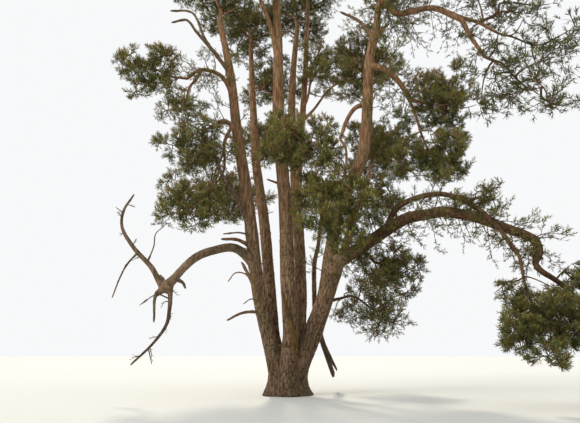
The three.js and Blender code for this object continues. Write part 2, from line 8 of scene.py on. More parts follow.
import bpy
import numpy as np
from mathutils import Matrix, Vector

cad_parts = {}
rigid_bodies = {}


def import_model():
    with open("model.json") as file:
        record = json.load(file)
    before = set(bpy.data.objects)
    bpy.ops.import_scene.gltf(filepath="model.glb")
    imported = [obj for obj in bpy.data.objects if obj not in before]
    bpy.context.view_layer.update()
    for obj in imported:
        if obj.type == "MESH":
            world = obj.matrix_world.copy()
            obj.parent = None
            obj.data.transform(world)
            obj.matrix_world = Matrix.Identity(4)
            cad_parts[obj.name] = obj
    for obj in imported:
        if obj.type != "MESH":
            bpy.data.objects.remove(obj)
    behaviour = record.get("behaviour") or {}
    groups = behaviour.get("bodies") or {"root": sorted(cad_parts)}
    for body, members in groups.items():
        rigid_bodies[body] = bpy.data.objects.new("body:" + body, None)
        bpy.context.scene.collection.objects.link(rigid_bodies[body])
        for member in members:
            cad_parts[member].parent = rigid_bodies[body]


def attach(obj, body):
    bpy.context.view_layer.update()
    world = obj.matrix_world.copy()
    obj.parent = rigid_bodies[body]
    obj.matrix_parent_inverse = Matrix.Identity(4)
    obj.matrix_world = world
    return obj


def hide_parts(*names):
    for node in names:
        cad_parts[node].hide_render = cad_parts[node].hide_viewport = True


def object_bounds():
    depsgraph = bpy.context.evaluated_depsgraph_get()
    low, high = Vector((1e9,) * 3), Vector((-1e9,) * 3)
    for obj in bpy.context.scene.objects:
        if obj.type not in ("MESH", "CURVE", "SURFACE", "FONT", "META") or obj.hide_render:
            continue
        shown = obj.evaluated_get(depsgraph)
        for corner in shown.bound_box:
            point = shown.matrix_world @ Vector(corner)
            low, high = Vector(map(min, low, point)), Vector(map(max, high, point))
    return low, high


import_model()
CAD_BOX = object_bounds()

bl_info = {
    "name": "Scots pine looks",
    "version": (1, 0, 0),
    "blender": (4, 5, 0),
    "location": "3D View > Sidebar > Pine",
    "description": "Dresses the solids of a many-stemmed Scots pine with bark, twigs and needles",
    "category": "Object",
}

# Sizes in metres that the part's source gives too.
FORK_HEIGHT = 1.75  # where the stems part
FLARE = 0.13  # how far out the root flare goes at the ground
FLARE_HEIGHT = 0.22  # the height over which it falls to about a third
BOLE_SWELL = 0.1  # how much thicker each stem is at the ground, inside the bole
SIDE_STEM = 0.06  # radius of a mass's stem that springs from the side of a limb

# The source's rule for the foliage.
GOLDEN_TURN = math.pi * (3 - math.sqrt(5))  # from one tip to the next
FROND_DEPTHS = (1.04, 0.94, 0.84)  # how far out the fronds' tips lie in turn, against the mass's reach
FROND_FORKS = np.array([0.3])  # where on its way others may fork from a frond

# The parts of the crown: what each adds to the painted light that picks the tones of its needles, the
# shares of its sprays that are old and straw and that end in a candle, how large its sprays are, the tone
# of its candles, and whether it is in the shade, where its boughs get mossy bark with painted shade.
Part = namedtuple("Part", "light straw candles scale candle_tone shaded")
PARTS = {
    "crown": Part(0.06, 0.015, 0.06, 1.0, "candle", False),
    "left": Part(0.26, 0.015, 0.16, 1.0, "candle", False),
    "centre": Part(0.2, 0.03, 0.22, 1.0, "candle", False),
    "right": Part(0.2, 0.02, 0.08, 1.0, "candle", False),
    "high": Part(-0.6, 0.01, 0.02, 1.4, "candle", True),
    "low": Part(-0.06, 0.05, 0.16, 1.0, "straw", True),
}

# The tones of the needles, which paint light and shade, from those in painted shade to those in full
# painted light, which are as straw as old ones, and the light at which one gives way to the next.
TONES = ("deep", "green", "grey", "olive", "straw")
TONE_STEPS = (0.3, 0.6, 0.82, 1.1)
LIGHT_EVERYWHERE = 0.16  # on every spray of a mass
LIGHT_OUT = 0.35  # more on one at the edge of its lobe
LIGHT_UP = 0.35  # more on one that points straight up
LIGHT_HIGH = 0.15  # more at the top of its mass
LIGHT_ON_STRAYS = 0.4  # on every spray of a stray twig
LIGHT_BY_SPRAY = 0.3  # about how much it differs from spray to spray
LIGHT_SHIFT = 0.28  # how much it shifts from place to place
LIGHT_WAVE = 1.7  # over how many metres

# The lobes of a mass, one in its middle and one round each frond.
LOBE_PLACE = 0.62  # where on the way to the frond's tip its middle is
LOBE_SPAN = (0.5, 0.68)  # its least and greatest half-axis against the mass's mean one
LOBE_SHAPE = (1.0, 1.0, 0.78)  # a little flat
LOBE_RAGGED = 0.22  # how far its edge wanders, as a share of its half-axes
LOBE_WAVE = 1.1  # over how many metres

# A mass's own stem and its boughs.
STEM_SHARE = 0.85  # the stem's radius against that of the tip it carries on
STEM_BEYOND = 0.35  # how far it goes on past the middle, as a share of the mass's reach
STEM_SWAY = 0.07  # how far it sways, as a share of the mass's size
SWAY_TURNS = (7.0, 9.0, 11.0)  # how fast, along each axis
STEM_TAPER = 0.35  # how thin it ends, against its start
STEM_PLACES = 17  # places along it from which fronds may fork
STEM_WITHIN = 0.95  # how far out in the mass's space those may lie
FROND_RUN = 0.8  # how far its bough runs on the way to a frond's tip
BOUGH_RADII = (0.022, 0.01)  # at the start as a share of the mass's size, and at the end in metres
BOUGH_MARKS = ((1.0, 1.0, 0.5), (1.0, 0.15, 0.5))  # for their bark, in the light and in the shade

# Twigs, twiglets, sprays and candles.
PLACES = {"stem": 24, "frond": 8, "twig": 5, "twiglet": 3}  # how many lie along each one's line
FARTHEST = {"twig": 1.04, "twiglet": 1.0, "spray": 1.08}  # how far out in its lobe each may end
FIRST_TWIGS = 0.93  # where on the way to the fronds' tips the first twigs end
TWIG_DEPTHS = (0.35, 1.0, 23)  # how far out in their lobe the others end, and how many depths are drawn
DEPTH_POWER = 0.7  # below 1 it moves them outwards
FORK_DELAY = 0.3  # how much further off wood counts for each metre that it is along
TWIG_FORKS = np.array([0.45, 0.75])  # where on its way others may fork from a twig
MIDDLE_REACH = 1.45  # mean half-axis of a mass of middle size, in metres
SPRAY_GROWTH = 0.6  # the power by which sprays grow with their mass
FIRST_SHOOT = 0.3  # where on a twig or twiglet the first shoot springs from it
SHOOT_AHEAD = (0.35, 0.55)  # how far a shoot points along its line, and how much more at the tip
SHOOT_OUT = (1.05, -0.75)  # and out from it
SHOOT_UP = 0.25
STRAY_AHEAD = 0.5  # how far a stray twig points along its bough, against how far it points out
STRAY_DOWN = -0.3
TWIGLET_REACH = 0.27  # length of twiglets against the mass's size
STRAY_TWIGLET_REACH = 0.4  # and against the length of a stray twig
STRAY_SCALE = 0.85  # how large the sprays on stray twigs are
BOX_SPARE = 0.018  # how far past the solids' box a spray may reach, as a share of its side
TWIG_RADII = (0.018, 0.008)  # at the start and the end, in metres
TWIGLET_RADII = (0.01, 0.005)
SHOOT_WIDTH = 0.012  # of the shoot that bears a spray
CANDLE_RADIUS = 0.013
CANDLE_UP = (0.0, 0.0, 0.13)
CANDLE_LEAN = 0.02
CANDLE_DEPTH = 0.7  # how far out in its lobe a spray has to be to bear one
BEYOND_SHOOT = 0.8  # how far needles reach past their shoot's end, against their length
PAIRS_FROM = 0.1  # where on its shoot the first pair springs from it
PAIR_SHAKE = 0.04  # how far each pair is off its even place
LEAN_RANGE = (0.8, 1.2)  # how much less or more single pairs lean out
NEEDLE_LEAN = (60, 38)  # degrees that needles lean out at a spray's foot, and how many fewer at its end
PAIR_PARTING = (0.13, 0.08)  # how far a pair's ends part and lean aside, as shares of their length

# How long single ones are against their kind, at the least and at the most.
TWIGLET_LENGTHS = (0.5, 1.05)
SPRAY_LENGTHS = (0.7, 1.25)
NEEDLE_LENGTHS = (0.75, 1.15)
STRAY_LENGTHS = (0.55, 1.15)

# How far fronds bow as a share of their mass's size, and twigs of their own length: about how much at
# random each way, and how much upwards.
FROND_BOW = (0.09, 0.05)
TWIG_BOW = (0.07, -0.06)
TWIGLET_BOW = (0.06, 0.0)
STRAY_BOW = (0.08, 0.14)

# The ripple's wavelengths against the one it is asked for, and its shift in radians, along each axis.
RIPPLE_WAVES = (1.0, 1.27, 0.81)
RIPPLE_SHIFTS = (1.3, 0.4, 2.1)

# The bole.
BOLE_RINGS = ((0, 1.0, 44), (1.02, 1.5, 20))  # stretches of height, and how many rings are in each
BOLE_SIDES = 220
BOLE_GIRTH = 5.0  # about, for the size of its plates
BOLE_SHARPNESS = 22.0  # how sharply one stem's foot gives way to the next
BOLE_MISS = 2.2  # how much less a foot counts for each metre by which a ray misses it
BOLE_INSET = 0.02  # how far inside the stems' own surface it lies
RIDGES = 11  # root ridges round it, about
RIDGE_HEIGHT = 0.06
RIDGE_REACH = 0.3  # the height over which they fall to about a third
CLOSING = (1.15, 0.5, 0.45)  # the height from which it draws in, over how much, and by what share

# Tubes of bark by kind: a limb whose radius is above the first value has the first number of sides and any
# other the second, and the last value is about how far apart the rings are.
TUBES = {
    "stem": (0.15, 72, 44, 0.045),
    "bough": (0.12, 48, 26, 0.035),
    "dead": (0.1, 34, 22, 0.03),
    "side": (0.0, 14, 14, 0.03),
    "strip": (0.0, 24, 24, 0.03),
}
FEWEST_RINGS = 8
STEM_LEAN = 1.15  # the power that brings a stem's rings closer together near its foot
LOWEST = 0.02  # the lowest that a stem's bark comes, inside the bole
STUB_TAPER = 0.55  # how thin a stub or side twig ends, against its start
STRIP_RADII = (0.12, 0.035)

# How deep cracks are in what isn't a stem: at most, against the radius, except for the dead limbs' and the
# strip's greatest depths in metres.
BOUGH_CRACKS = 0.1
STUB_CRACKS = 0.3
DEAD_CRACKS = 0.12
DEAD_DEPTH = 0.012
STRIP_DEPTH = 0.03

# How old bark is, from 0 for thin flakes to 1 for plates.
STEM_AGES = (3.2, 5.8)  # on the stems it falls from the first height, over the second
AGES = {"old": 0.85, "young": 0.1, "side": 0.5, "dead": 0.6, "strip": 0.8}
# On the arch the age also lays painted shade: as it grows, the plates take their darker shaded copy.
ARCH_BLEND = 1.0  # how many metres it takes to grow at the foot of the arch

# Patterns of bark by the size of a cell in metres, round the limb and along it, and the fewest cells there
# are each way.
SWELLINGS = (0.35, 0.5), (3, 2)
CRACK_WANDER = (0.15, 0.2), (4, 3)
FLAKES = (0.13, 0.11), (4, 3)
FEWEST_PLATES = (5, 3)
PLATE_PLACE = (0.12, 0.88)  # where in its cell a plate's middle may be, at the least and at the most
PLATE_TALL = 1.9  # how much more a step along counts than one across, between plates
CRACK_SHIFT = 0.45  # how far the cracks wander, in plates
CRACK_WIDTH = 0.34  # of the cracks between plates, in plates
FLAKE_GAP = 0.12  # of the gaps between flakes, in flakes
GRAIN_RUN = 0.12  # how far the grain runs on, in metres
SUNK = 0.7  # the share of the cracks' depth that lies below the limb's own radius
SWELLING_RISE = 0.05  # against the limb's mean radius
GRAIN_RISE = 0.12  # against the cracks' depth
FLAKE_FACE = 0.35  # the mark in the gaps between flakes, where a crack between plates has 0

# Collars where others spring from a limb, all against the springing one's radius, and knots.
COLLAR_RISE = 0.35
COLLAR_RUN = 2.0  # how far it reaches along the limb
COLLAR_SPREAD = 1.5  # and round it
KNOTS_PER_METRE = 1.1
KNOT_SIZES = (0.03, 0.07)  # the least and the greatest, in metres
KNOT_RISE = 0.35  # against its size
DIMPLE = (0.7, 0.4)  # its depth and its width against the knot's rise and size

# The foot and the end of a limb.
FOOT_SWELL = 0.45  # how much thicker it is where it leaves its parent's bark
FOOT_RUN = 1.3  # over how many of its radii that dies away
TIP_SHRINK = 0.14  # how much thinner it ends where another limb carries it on
TIP_RUN = 0.5  # over how many metres
DEEPEST = 0.35  # how deep relief and a torn end may cut, against the radius
SPLINTERS = 7  # round a torn end, about
SPLINTER_REACH = (0.8, 1.6)  # how far they lean out, and how much that differs, against the radius

# The first seed of the random draws for each kind of piece, and how far apart the seeds of a kind are.
SEEDS = {
    "bole": (40, 1),
    "stems": (100, 17),
    "stubs": (300, 7),
    "boughs": (500, 13),
    "dead limbs": (700, 13),
    "dead twigs": (900, 7),
    "strip": (977, 1),
    "masses": (2000, 1),
    "strays": (3000, 1),
}

# The camera: a 28 mm lens on a 36 mm sensor, held low and tilted up into the crown.
CAMERA_PLACE = (0.13, -15.0, 1.18)
CAMERA_TILT = 17.65
CAMERA_LENS = 28.0
CAMERA_SENSOR = 36.0

# The lights by name: strength, width in radians, tilt and turn in degrees, and colour.
LIGHTS = {
    "sun behind": (2.2, 0.12, 51.0, 188.0, (1.0, 0.9, 0.74)),
    "light in front": (1.5, 0.5, 60.0, -64.0, (1.0, 0.96, 0.9)),
}
SKY_STRENGTH = 0.97
FLOOR_SIDES = 96
FLOOR_HEIGHT = -0.002

# The stems by name: radius at the fork and at the tip, and the places that each passes through.
STEMS = {
    "stem_left": ((0.22, 0.1), ((-0.28, -0.12, 0), (-0.25, -0.1, 0.6), (-0.56, -0.15, 1.75),
        (-0.84, -0.2, 2.9), (-1.3, -0.4, 6.05), (-1.8, -0.6, 9.1), (-2.06, -0.7, 11),
        (-2.55, -0.8, 13.3))),
    "stem_middle": ((0.24, 0.12), ((0.08, -0.26, 0), (0.06, -0.24, 0.6), (0.15, -0.3, 1.75),
        (0.05, -0.4, 3.5), (-0.03, -0.5, 6), (-0.26, -0.6, 8.8), (-0.32, -0.7, 12.1),
        (-0.42, -0.7, 15.3))),
    "stem_right": ((0.22, 0.14), ((0.34, -0.06, 0), (0.36, -0.06, 0.6), (0.72, -0.1, 1.75),
        (1.2, -0.4, 2.9), (1.45, -0.65, 4.3), (1.73, -0.9, 5.8), (2.52, -1.3, 7.4), (2.76, -1.5, 9.3),
        (2.9, -1.65, 11), (3.2, -1.7, 12.2))),
    "stem_left_back": ((0.2, 0.08), ((-0.12, 0.3, 0), (-0.1, 0.26, 0.6), (-0.4, 0.4, 1.75),
        (-0.55, 0.5, 3.3), (-0.83, 0.9, 5.9), (-1.2, 1.3, 8.4), (-1.4, 1.65, 10.9), (-1.65, 2.1, 14.6))),
    "stem_back": ((0.2, 0.09), ((0.18, 0.34, 0), (0.2, 0.3, 0.6), (0.44, 0.42, 1.75), (0.49, 0.6, 4),
        (0.37, 1, 6.8), (0.2, 1.45, 11), (0.45, 2, 15.4))),
    "stem_right_back": ((0.19, 0.09), ((0.42, 0.26, 0), (0.44, 0.26, 0.6), (0.96, 0.5, 1.75),
        (1.6, 1, 3.4), (2.4, 1.8, 5.6), (3.1, 2.4, 7.6))),
}

# The limbs by name: the parent, the height on it at which the limb starts or "tip" where it carries the
# parent's tip on, radius at both ends, bark, and the places that the limb passes through.
LIMBS = {
    "stem_middle_fork": ("stem_middle", 11.3, (0.1, 0.06), "young", ((-0.56, -0.9, 12.8),
        (-1.1, -1.35, 14.2))),
    "stem_back_right": ("stem_back", 6.6, (0.15, 0.08), "young", ((0.6, 1, 9.9), (0.78, 1.05, 12.6),
        (0.92, 1.2, 16.1))),
    "stem_right_top": ("stem_right", "tip", (0.12, 0.09), "young", ((3.28, -1.7, 12.9),
        (3.65, -1.6, 14.3))),
    "thin_stem": ("stem_right_back", 1.6, (0.09, 0.06), "young", ((0.98, 0.9, 2.6), (1.01, 1.05, 4.3),
        (1.18, 1.25, 5.1), (1.35, 1.4, 6.4))),
    "arch_bough_rise": ("stem_right", 3.9, (0.21, 0.16), "old", ((2, -1, 4.2), (2.63, -1.4, 4.55),
        (3.59, -2.1, 5.05), (4.35, -2.55, 5.1))),
    "arch_bough_fall": ("arch_bough_rise", "tip", (0.16, 0.1), "old", ((5.14, -3, 4.87),
        (5.88, -3.4, 4.41), (6.42, -3.68, 4.02), (6.46, -3.76, 3.75), (6.34, -3.84, 3.5))),
    "arch_side_bough": ("arch_bough_rise", 4.8, (0.09, 0.05), "old", ((3.4, -2, 5.45),
        (4.49, -2.5, 5.7), (5.26, -2.95, 5.2), (5.56, -3.6, 4.4), (5.7, -4.15, 3.55))),
    "dead_bough": ("stem_left", 4.1, (0.15, 0.11), "dead", ((-1.65, -0.8, 4.46), (-2.24, -1.2, 4.3),
        (-2.79, -1.5, 3.97), (-3.45, -1.9, 3.05))),
    "dead_bough_upper": ("dead_bough", "tip", (0.09, 0.025), "dead", ((-3.9, -1.95, 3.6),
        (-4.48, -2, 4.2), (-4.9, -2, 4.85), (-4.9, -2, 5.35), (-4.65, -2, 5.85))),
    "dead_bough_lower": ("dead_bough", 3.2, (0.07, 0.025), "dead", ((-3.28, -2, 2.45), (-3.33, -2, 2),
        (-3.62, -2.1, 1.5), (-4.1, -2.3, 0.95))),
    "broken_limb": ("stem_left", 5.1, (0.095, 0.05), "dead", ((-1.62, -0.8, 6.1), (-1.98, -1.1, 6.6),
        (-2.2, -1.3, 7.05), (-2.42, -1.4, 7.6))),
    "dead_fork": ("stem_left", 11.1, (0.08, 0.035), "dead", ((-2.68, -1, 11.8), (-3.25, -1.35, 12.35),
        (-3.6, -1.55, 12.72), (-4.05, -1.7, 12.5))),
    "left_high_bough": ("stem_left", 10.2, (0.08, 0.055), "young", ((-2.4, -1, 10.8),
        (-3.03, -1.3, 10.8), (-3.4, -1.5, 10.35))),
    "left_bough": ("stem_left", 8.7, (0.08, 0.06), "young", ((-2.14, -1, 8.95), (-2.6, -1.15, 8.6))),
    "right_bough": ("stem_right", 10.7, (0.11, 0.08), "young", ((3.3, -1.8, 10.5), (3.75, -1.95, 9.9),
        (4.05, -2, 9.25))),
    "high_right_bough": ("stem_right_top", 13.5, (0.11, 0.085), "young", ((3.7, -1.75, 13.1),
        (3.95, -1.9, 12.7), (5, -2.45, 12.45), (5.68, -2.8, 11.7))),
    "high_right_bough_lower": ("high_right_bough", "tip", (0.08, 0.05), "young", ((5.9, -2.9, 11),
        (6.13, -3.1, 10.1))),
    "high_right_bough_upper": ("high_right_bough", 12, (0.06, 0.045), "young", ((6.3, -2.8, 11.55),
        (6.8, -2.8, 11.2))),
    "centre_bough": ("stem_right", 9.3, (0.08, 0.06), "young", ((2.38, -1.25, 9.3), (2.05, -1.15, 8.8),
        (1.88, -1.2, 8.3))),
    "torn_limb": ("stem_right_back", 1.98, (0.1, 0.07), "dead", ((1.22, 1, 1.65), (1.42, 1.3, 1.1),
        (1.62, 1.6, 0.55))),
}

# The strip of torn wood that stands proud of the middle stem above the fork.
TORN_STRIP = ((0.26, -0.36, 1.2), (0.2, -0.64, 1.9), (0.06, -0.7, 2.45), (-0.07, -0.73, 2.95))

# Stubs and twigs that are one piece with a limb: the share of its length at which each starts, its radius,
# and the places that it passes through.
SIDE_LIMBS = {
    "stem_left": (
        (0.345, 0.07, ((-1.55, -0.75, 4.74), (-2, -1.2, 4.66))),
        (0.375, 0.035, ((-1.5, -0.7, 5.0), (-1.98, -1.15, 4.84))),
        (0.19, 0.055, ((-1.33, -0.8, 2.42), (-1.75, -1.1, 2.18))),
        (0.185, 0.08, ((-1.04, -0.6, 3.3), (-1.38, -0.8, 3.95))),
        (0.19, 0.03, ((-1.25, -0.75, 3.6), (-1.59, -0.8, 3.66), (-1.81, -0.8, 3.4))),
        (0.21, 0.025, ((-1.1, -0.7, 2.85), (-1.3, -0.8, 2.7))),
    ),
    "stem_middle": (
        (0.44, 0.05, ((-0.62, -0.62, 6.9),)),
        (0.8, 0.06, ((-0.18, -0.5, 12.9), (0.1, -0.2, 13.35), (0.42, 0.2, 13.4))),
    ),
    "stem_right": (
        (0.98, 0.08, ((3.6, -1.75, 12.35),)),
        (0.97, 0.07, ((2.6, -1.7, 12.55), (1.95, -1.85, 12.8))),
    ),
    "dead_bough": (
        (0.985, 0.13, ((-3.6, -2.02, 2.9),)),
        (0.95, 0.1, ((-3.55, -1.72, 3.2), (-3.68, -1.7, 3.36))),
        (0.9, 0.06, ((-3.02, -1.72, 3.2), (-2.95, -1.72, 3.08))),
    ),
    "dead_bough_upper": (
        (0.3, 0.022, ((-3.95, -1.8, 4.3), (-3.96, -1.7, 4.7), (-3.72, -1.7, 4.95))),
        (0.42, 0.03, ((-4.6, -2.1, 3.65), (-4.75, -2.16, 3.2), (-4.86, -2.2, 2.72))),
        (0.82, 0.018, ((-5.15, -2, 5.45),)),
    ),
    "dead_bough_lower": (
        (0.12, 0.05, ((-3.66, -2.05, 2.9), (-3.68, -2.05, 2.1))),
        (0.2, 0.022, ((-3.75, -1.8, 2.85), (-4.2, -1.8, 2.55))),
        (0.78, 0.016, ((-3.6, -2.15, 0.95),)),
    ),
    "torn_limb": (
        (0.2, 0.06, ((1.4, 0.95, 1.3), (1.72, 1.3, 0.7))),
    ),
    "dead_fork": (
        (0.25, 0.06, ((-3, -1, 12.3), (-3.6, -1, 13.55), (-4.3, -1.2, 13.45))),
    ),
}

# The masses of foliage by name: the part of the crown it belongs to, the limb it grows on, the height or
# share of that limb's length at which it starts or "tip", places that bend its stem, the middle and the
# half-axes of its space, how many fronds the source gives it, and how full it looks in the photograph.
MASSES = {
    "crown_left": ("crown", "stem_left", "tip", (), (-2.7, -0.8, 14.8), (1.8, 1.7, 1.6), 7, 1),
    "crown_left_back": ("crown", "stem_left_back", "tip", (), (-2, 2.9, 16), (1.9, 1.9, 1.7), 6, 1),
    "crown_middle": ("crown", "stem_middle", "tip", (), (-0.6, -0.8, 17), (2, 1.8, 1.7), 7, 1),
    "crown_front": ("crown", "stem_middle_fork", "tip", (), (-1.2, -1.9, 14.9), (1.3, 1.2, 1.1), 6, 1),
    "crown_back": ("crown", "stem_back", "tip", (), (0.4, 3, 17), (2, 2, 1.7), 7, 1),
    "crown_back_right": ("crown", "stem_back_right", "tip", (), (2, 0.9, 17.4), (2, 1.9, 1.5), 6, 1),
    "crown_right": ("crown", "stem_right_top", "tip", (), (4.1, -1.4, 15.7), (2.1, 2, 1.5), 7, 1),
    "far_left": ("left", "left_high_bough", "tip", (), (-4.7, -1.8, 10.5), (1.3, 1.1, 1), 7, 1.15),
    "left_droop": ("left", "left_high_bough", ("share", 0.7), (),
        (-3.55, -1.5, 9.25), (1, 0.9, 0.75), 6, 0.85),
    "left_upper": ("left", "left_bough", "tip", (), (-2.9, -1.35, 7.7), (1.35, 1.2, 0.95), 7, 1.2),
    "left_lower": ("left", "left_bough", ("share", 0.25), ((-2.05, -1.1, 8.1), (-2.2, -1, 7)),
        (-3.15, -1.1, 5.85), (1.35, 1.1, 0.95), 7, 1.15),
    "left_behind": ("left", "stem_left", 8.5, ((-2.3, 0.3, 8.9), (-2.6, 0.9, 8.5)),
        (-3, 2, 7.5), (1.4, 1.4, 1.4), 6, 0.9),
    "between_upper": ("centre", "stem_left_back", 12, (), (-0.8, 3.6, 13.4), (1.5, 1.4, 1.5), 6, 1.15),
    "between_lower": ("centre", "stem_left_back", 9, (), (-0.9, 3.5, 10.5), (1.6, 1.4, 1.4), 6, 1.25),
    "centre_high": ("centre", "stem_back_right", 10.6, (), (1.25, 0.1, 11.9), (0.85, 0.8, 1.6), 6, 1),
    "right_behind_high": ("centre", "stem_back_right", 10, ((1.9, 1.8, 11.9),),
        (3.5, 3, 14), (2, 1.8, 1.9), 7, 1.4),
    "front_upper": ("centre", "stem_middle", 7.6, ((0.1, -1.4, 8.1),),
        (0.45, -2.4, 7.35), (1.5, 1.1, 1.05), 8, 1.5),
    "front_lower": ("centre", "centre_bough", "tip", ((1.9, -1.9, 7.4),),
        (1.4, -2.5, 5.3), (1.2, 1, 1.6), 7, 1.5),
    "right_middle": ("right", "right_bough", "tip", (), (5.1, -1.8, 9.2), (1.5, 1.3, 1.2), 7, 1.4),
    "right_lower": ("right", "right_bough", ("share", 0.75), (), (4.9, -1.3, 7.4), (1.7, 1.3, 1), 6, 1.4),
    "right_behind": ("right", "stem_right_back", "tip", (), (4.2, 3.5, 9.9), (1.9, 1.7, 1.7), 7, 1.35),
    "right_inner": ("right", "stem_right", 4.7, ((2, -0.7, 5.8), (2.9, -0.6, 6.2)),
        (3.2, -0.3, 6.3), (1.2, 1.1, 0.95), 6, 1),
    "high_right_lower": ("high", "high_right_bough_lower", "tip", ((6.6, -3.3, 9.6),),
        (7, -3.5, 8.7), (2.1, 1.3, 1.4), 7, 0.25),
    "high_right_middle": ("high", "high_right_bough_upper", "tip", (),
        (8.1, -2.9, 10.6), (1.7, 1.3, 1), 6, 0.25),
    "high_right_upper": ("high", "high_right_bough_upper", ("share", 0.6), ((6.6, -2.6, 11.8),),
        (7.4, -2.4, 12.6), (1.9, 1.4, 1.1), 6, 0.25),
    "arch_top": ("low", "arch_side_bough", 5.55, (), (5.5, -2.9, 5.4), (1.1, 0.9, 0.6), 5, 0.6),
    "arch_under": ("low", "arch_bough_rise", 4.35, (), (3.3, -0.9, 3.7), (1.25, 1.1, 1), 6, 1.2),
    "low_right": ("low", "stem_right_back", 2.9, ((2.2, 1.3, 3.2),),
        (3.2, 1.9, 2.8), (1.5, 1.4, 1.3), 6, 0.85),
    "hanging_inner": ("low", "arch_side_bough", "tip", (), (5.85, -4.2, 1.9), (1.05, 0.95, 1.15), 7, 1.7),
    "hanging_outer": ("low", "arch_bough_fall", "tip", (), (7.5, -3.9, 2.15), (1.3, 1.2, 1.35), 7, 1.7),
    "back_left": ("left", "stem_left_back", 6.4, ((-1.4, 2.2, 7.2),),
        (-2.3, 4.5, 7.9), (1.6, 1.5, 1.3), 6, 1),
    "back_middle": ("centre", "thin_stem", "tip", ((1.45, 2, 6.9),),
        (1.5, 4.4, 8.3), (1.6, 1.5, 1.4), 6, 1),
}

# Fine twigs outside the masses, in rows: the bough they hang from, the part of the crown, the stretch of
# the bough as shares of its length, how many there are, their length in metres, and the sprays on each
# twiglet, where 0 is a bare dead twig.
STRAYS = (
    ("high_right_bough", "right", 0.0, 0.4, 26, 1.35, 6),
    ("high_right_bough", "high", 0.4, 1, 12, 1.2, 3),
    ("high_right_bough_lower", "high", 0.05, 0.95, 8, 0.8, 2),
    ("stem_right_top", "crown", 0.05, 0.95, 14, 1.2, 6),
    ("right_bough", "right", 0.2, 0.95, 13, 1.0, 5),
    ("left_high_bough", "left", 0.1, 0.95, 15, 0.85, 4),
    ("stem_left", "left", 0.56, 0.74, 9, 0.7, 2),
    ("arch_side_bough", "low", 0.3, 0.95, 14, 0.55, 3),
    ("arch_side_bough", "low", 0.6, 1, 9, 0.5, 0),
    ("arch_bough_rise", "low", 0.02, 0.55, 20, 1.15, 6),
    ("arch_bough_rise", "low", 0.5, 0.98, 14, 1.0, 5),
    ("arch_bough_rise", "low", 0.5, 0.95, 6, 0.6, 0),
    ("arch_bough_fall", "low", 0.03, 0.5, 10, 0.9, 4),
    ("arch_bough_fall", "low", 0.62, 1, 9, 0.8, 5),
    ("left_bough", "left", 0.3, 1, 8, 1.2, 5),
    ("arch_bough_fall", "low", 0.05, 0.9, 13, 0.8, 0),
    ("stem_right", "centre", 0.3, 0.56, 14, 1.1, 6),
    ("stem_right", "right", 0.72, 0.97, 12, 1.2, 5),
    ("stem_middle", "centre", 0.4, 0.85, 9, 0.4, 0),
    ("stem_left", "left", 0.3, 0.6, 8, 0.35, 0),
    ("stem_left_back", "centre", 0.3, 0.7, 8, 0.45, 0),
    ("dead_bough_upper", "left", 0.1, 0.9, 7, 0.3, 0),
    ("dead_bough_lower", "left", 0.1, 0.9, 7, 0.3, 0),
)


def linear(value):
    """An sRGB colour in hex as linear light: each channel by the sRGB curve."""
    channels = [int(value[k:k + 2], 16) / 255 for k in (0, 2, 4)]
    return tuple(c / 12.92 if c <= 0.04045 else ((c + 0.055) / 1.055) ** 2.4 for c in channels)


def length_of(vectors):
    """Lengths of vectors in the last axis, kept as an axis of one."""
    return np.linalg.norm(vectors, axis=-1, keepdims=True)


def unit(vectors):
    """Vectors scaled to a length of one."""
    return vectors / np.maximum(length_of(vectors), 1e-9)


def smoothstep(x):
    """0 below 0 and 1 above 1, with the cubic 3x^2 - 2x^3 between."""
    x = np.clip(x, 0, 1)
    return x * x * (3 - 2 * x)


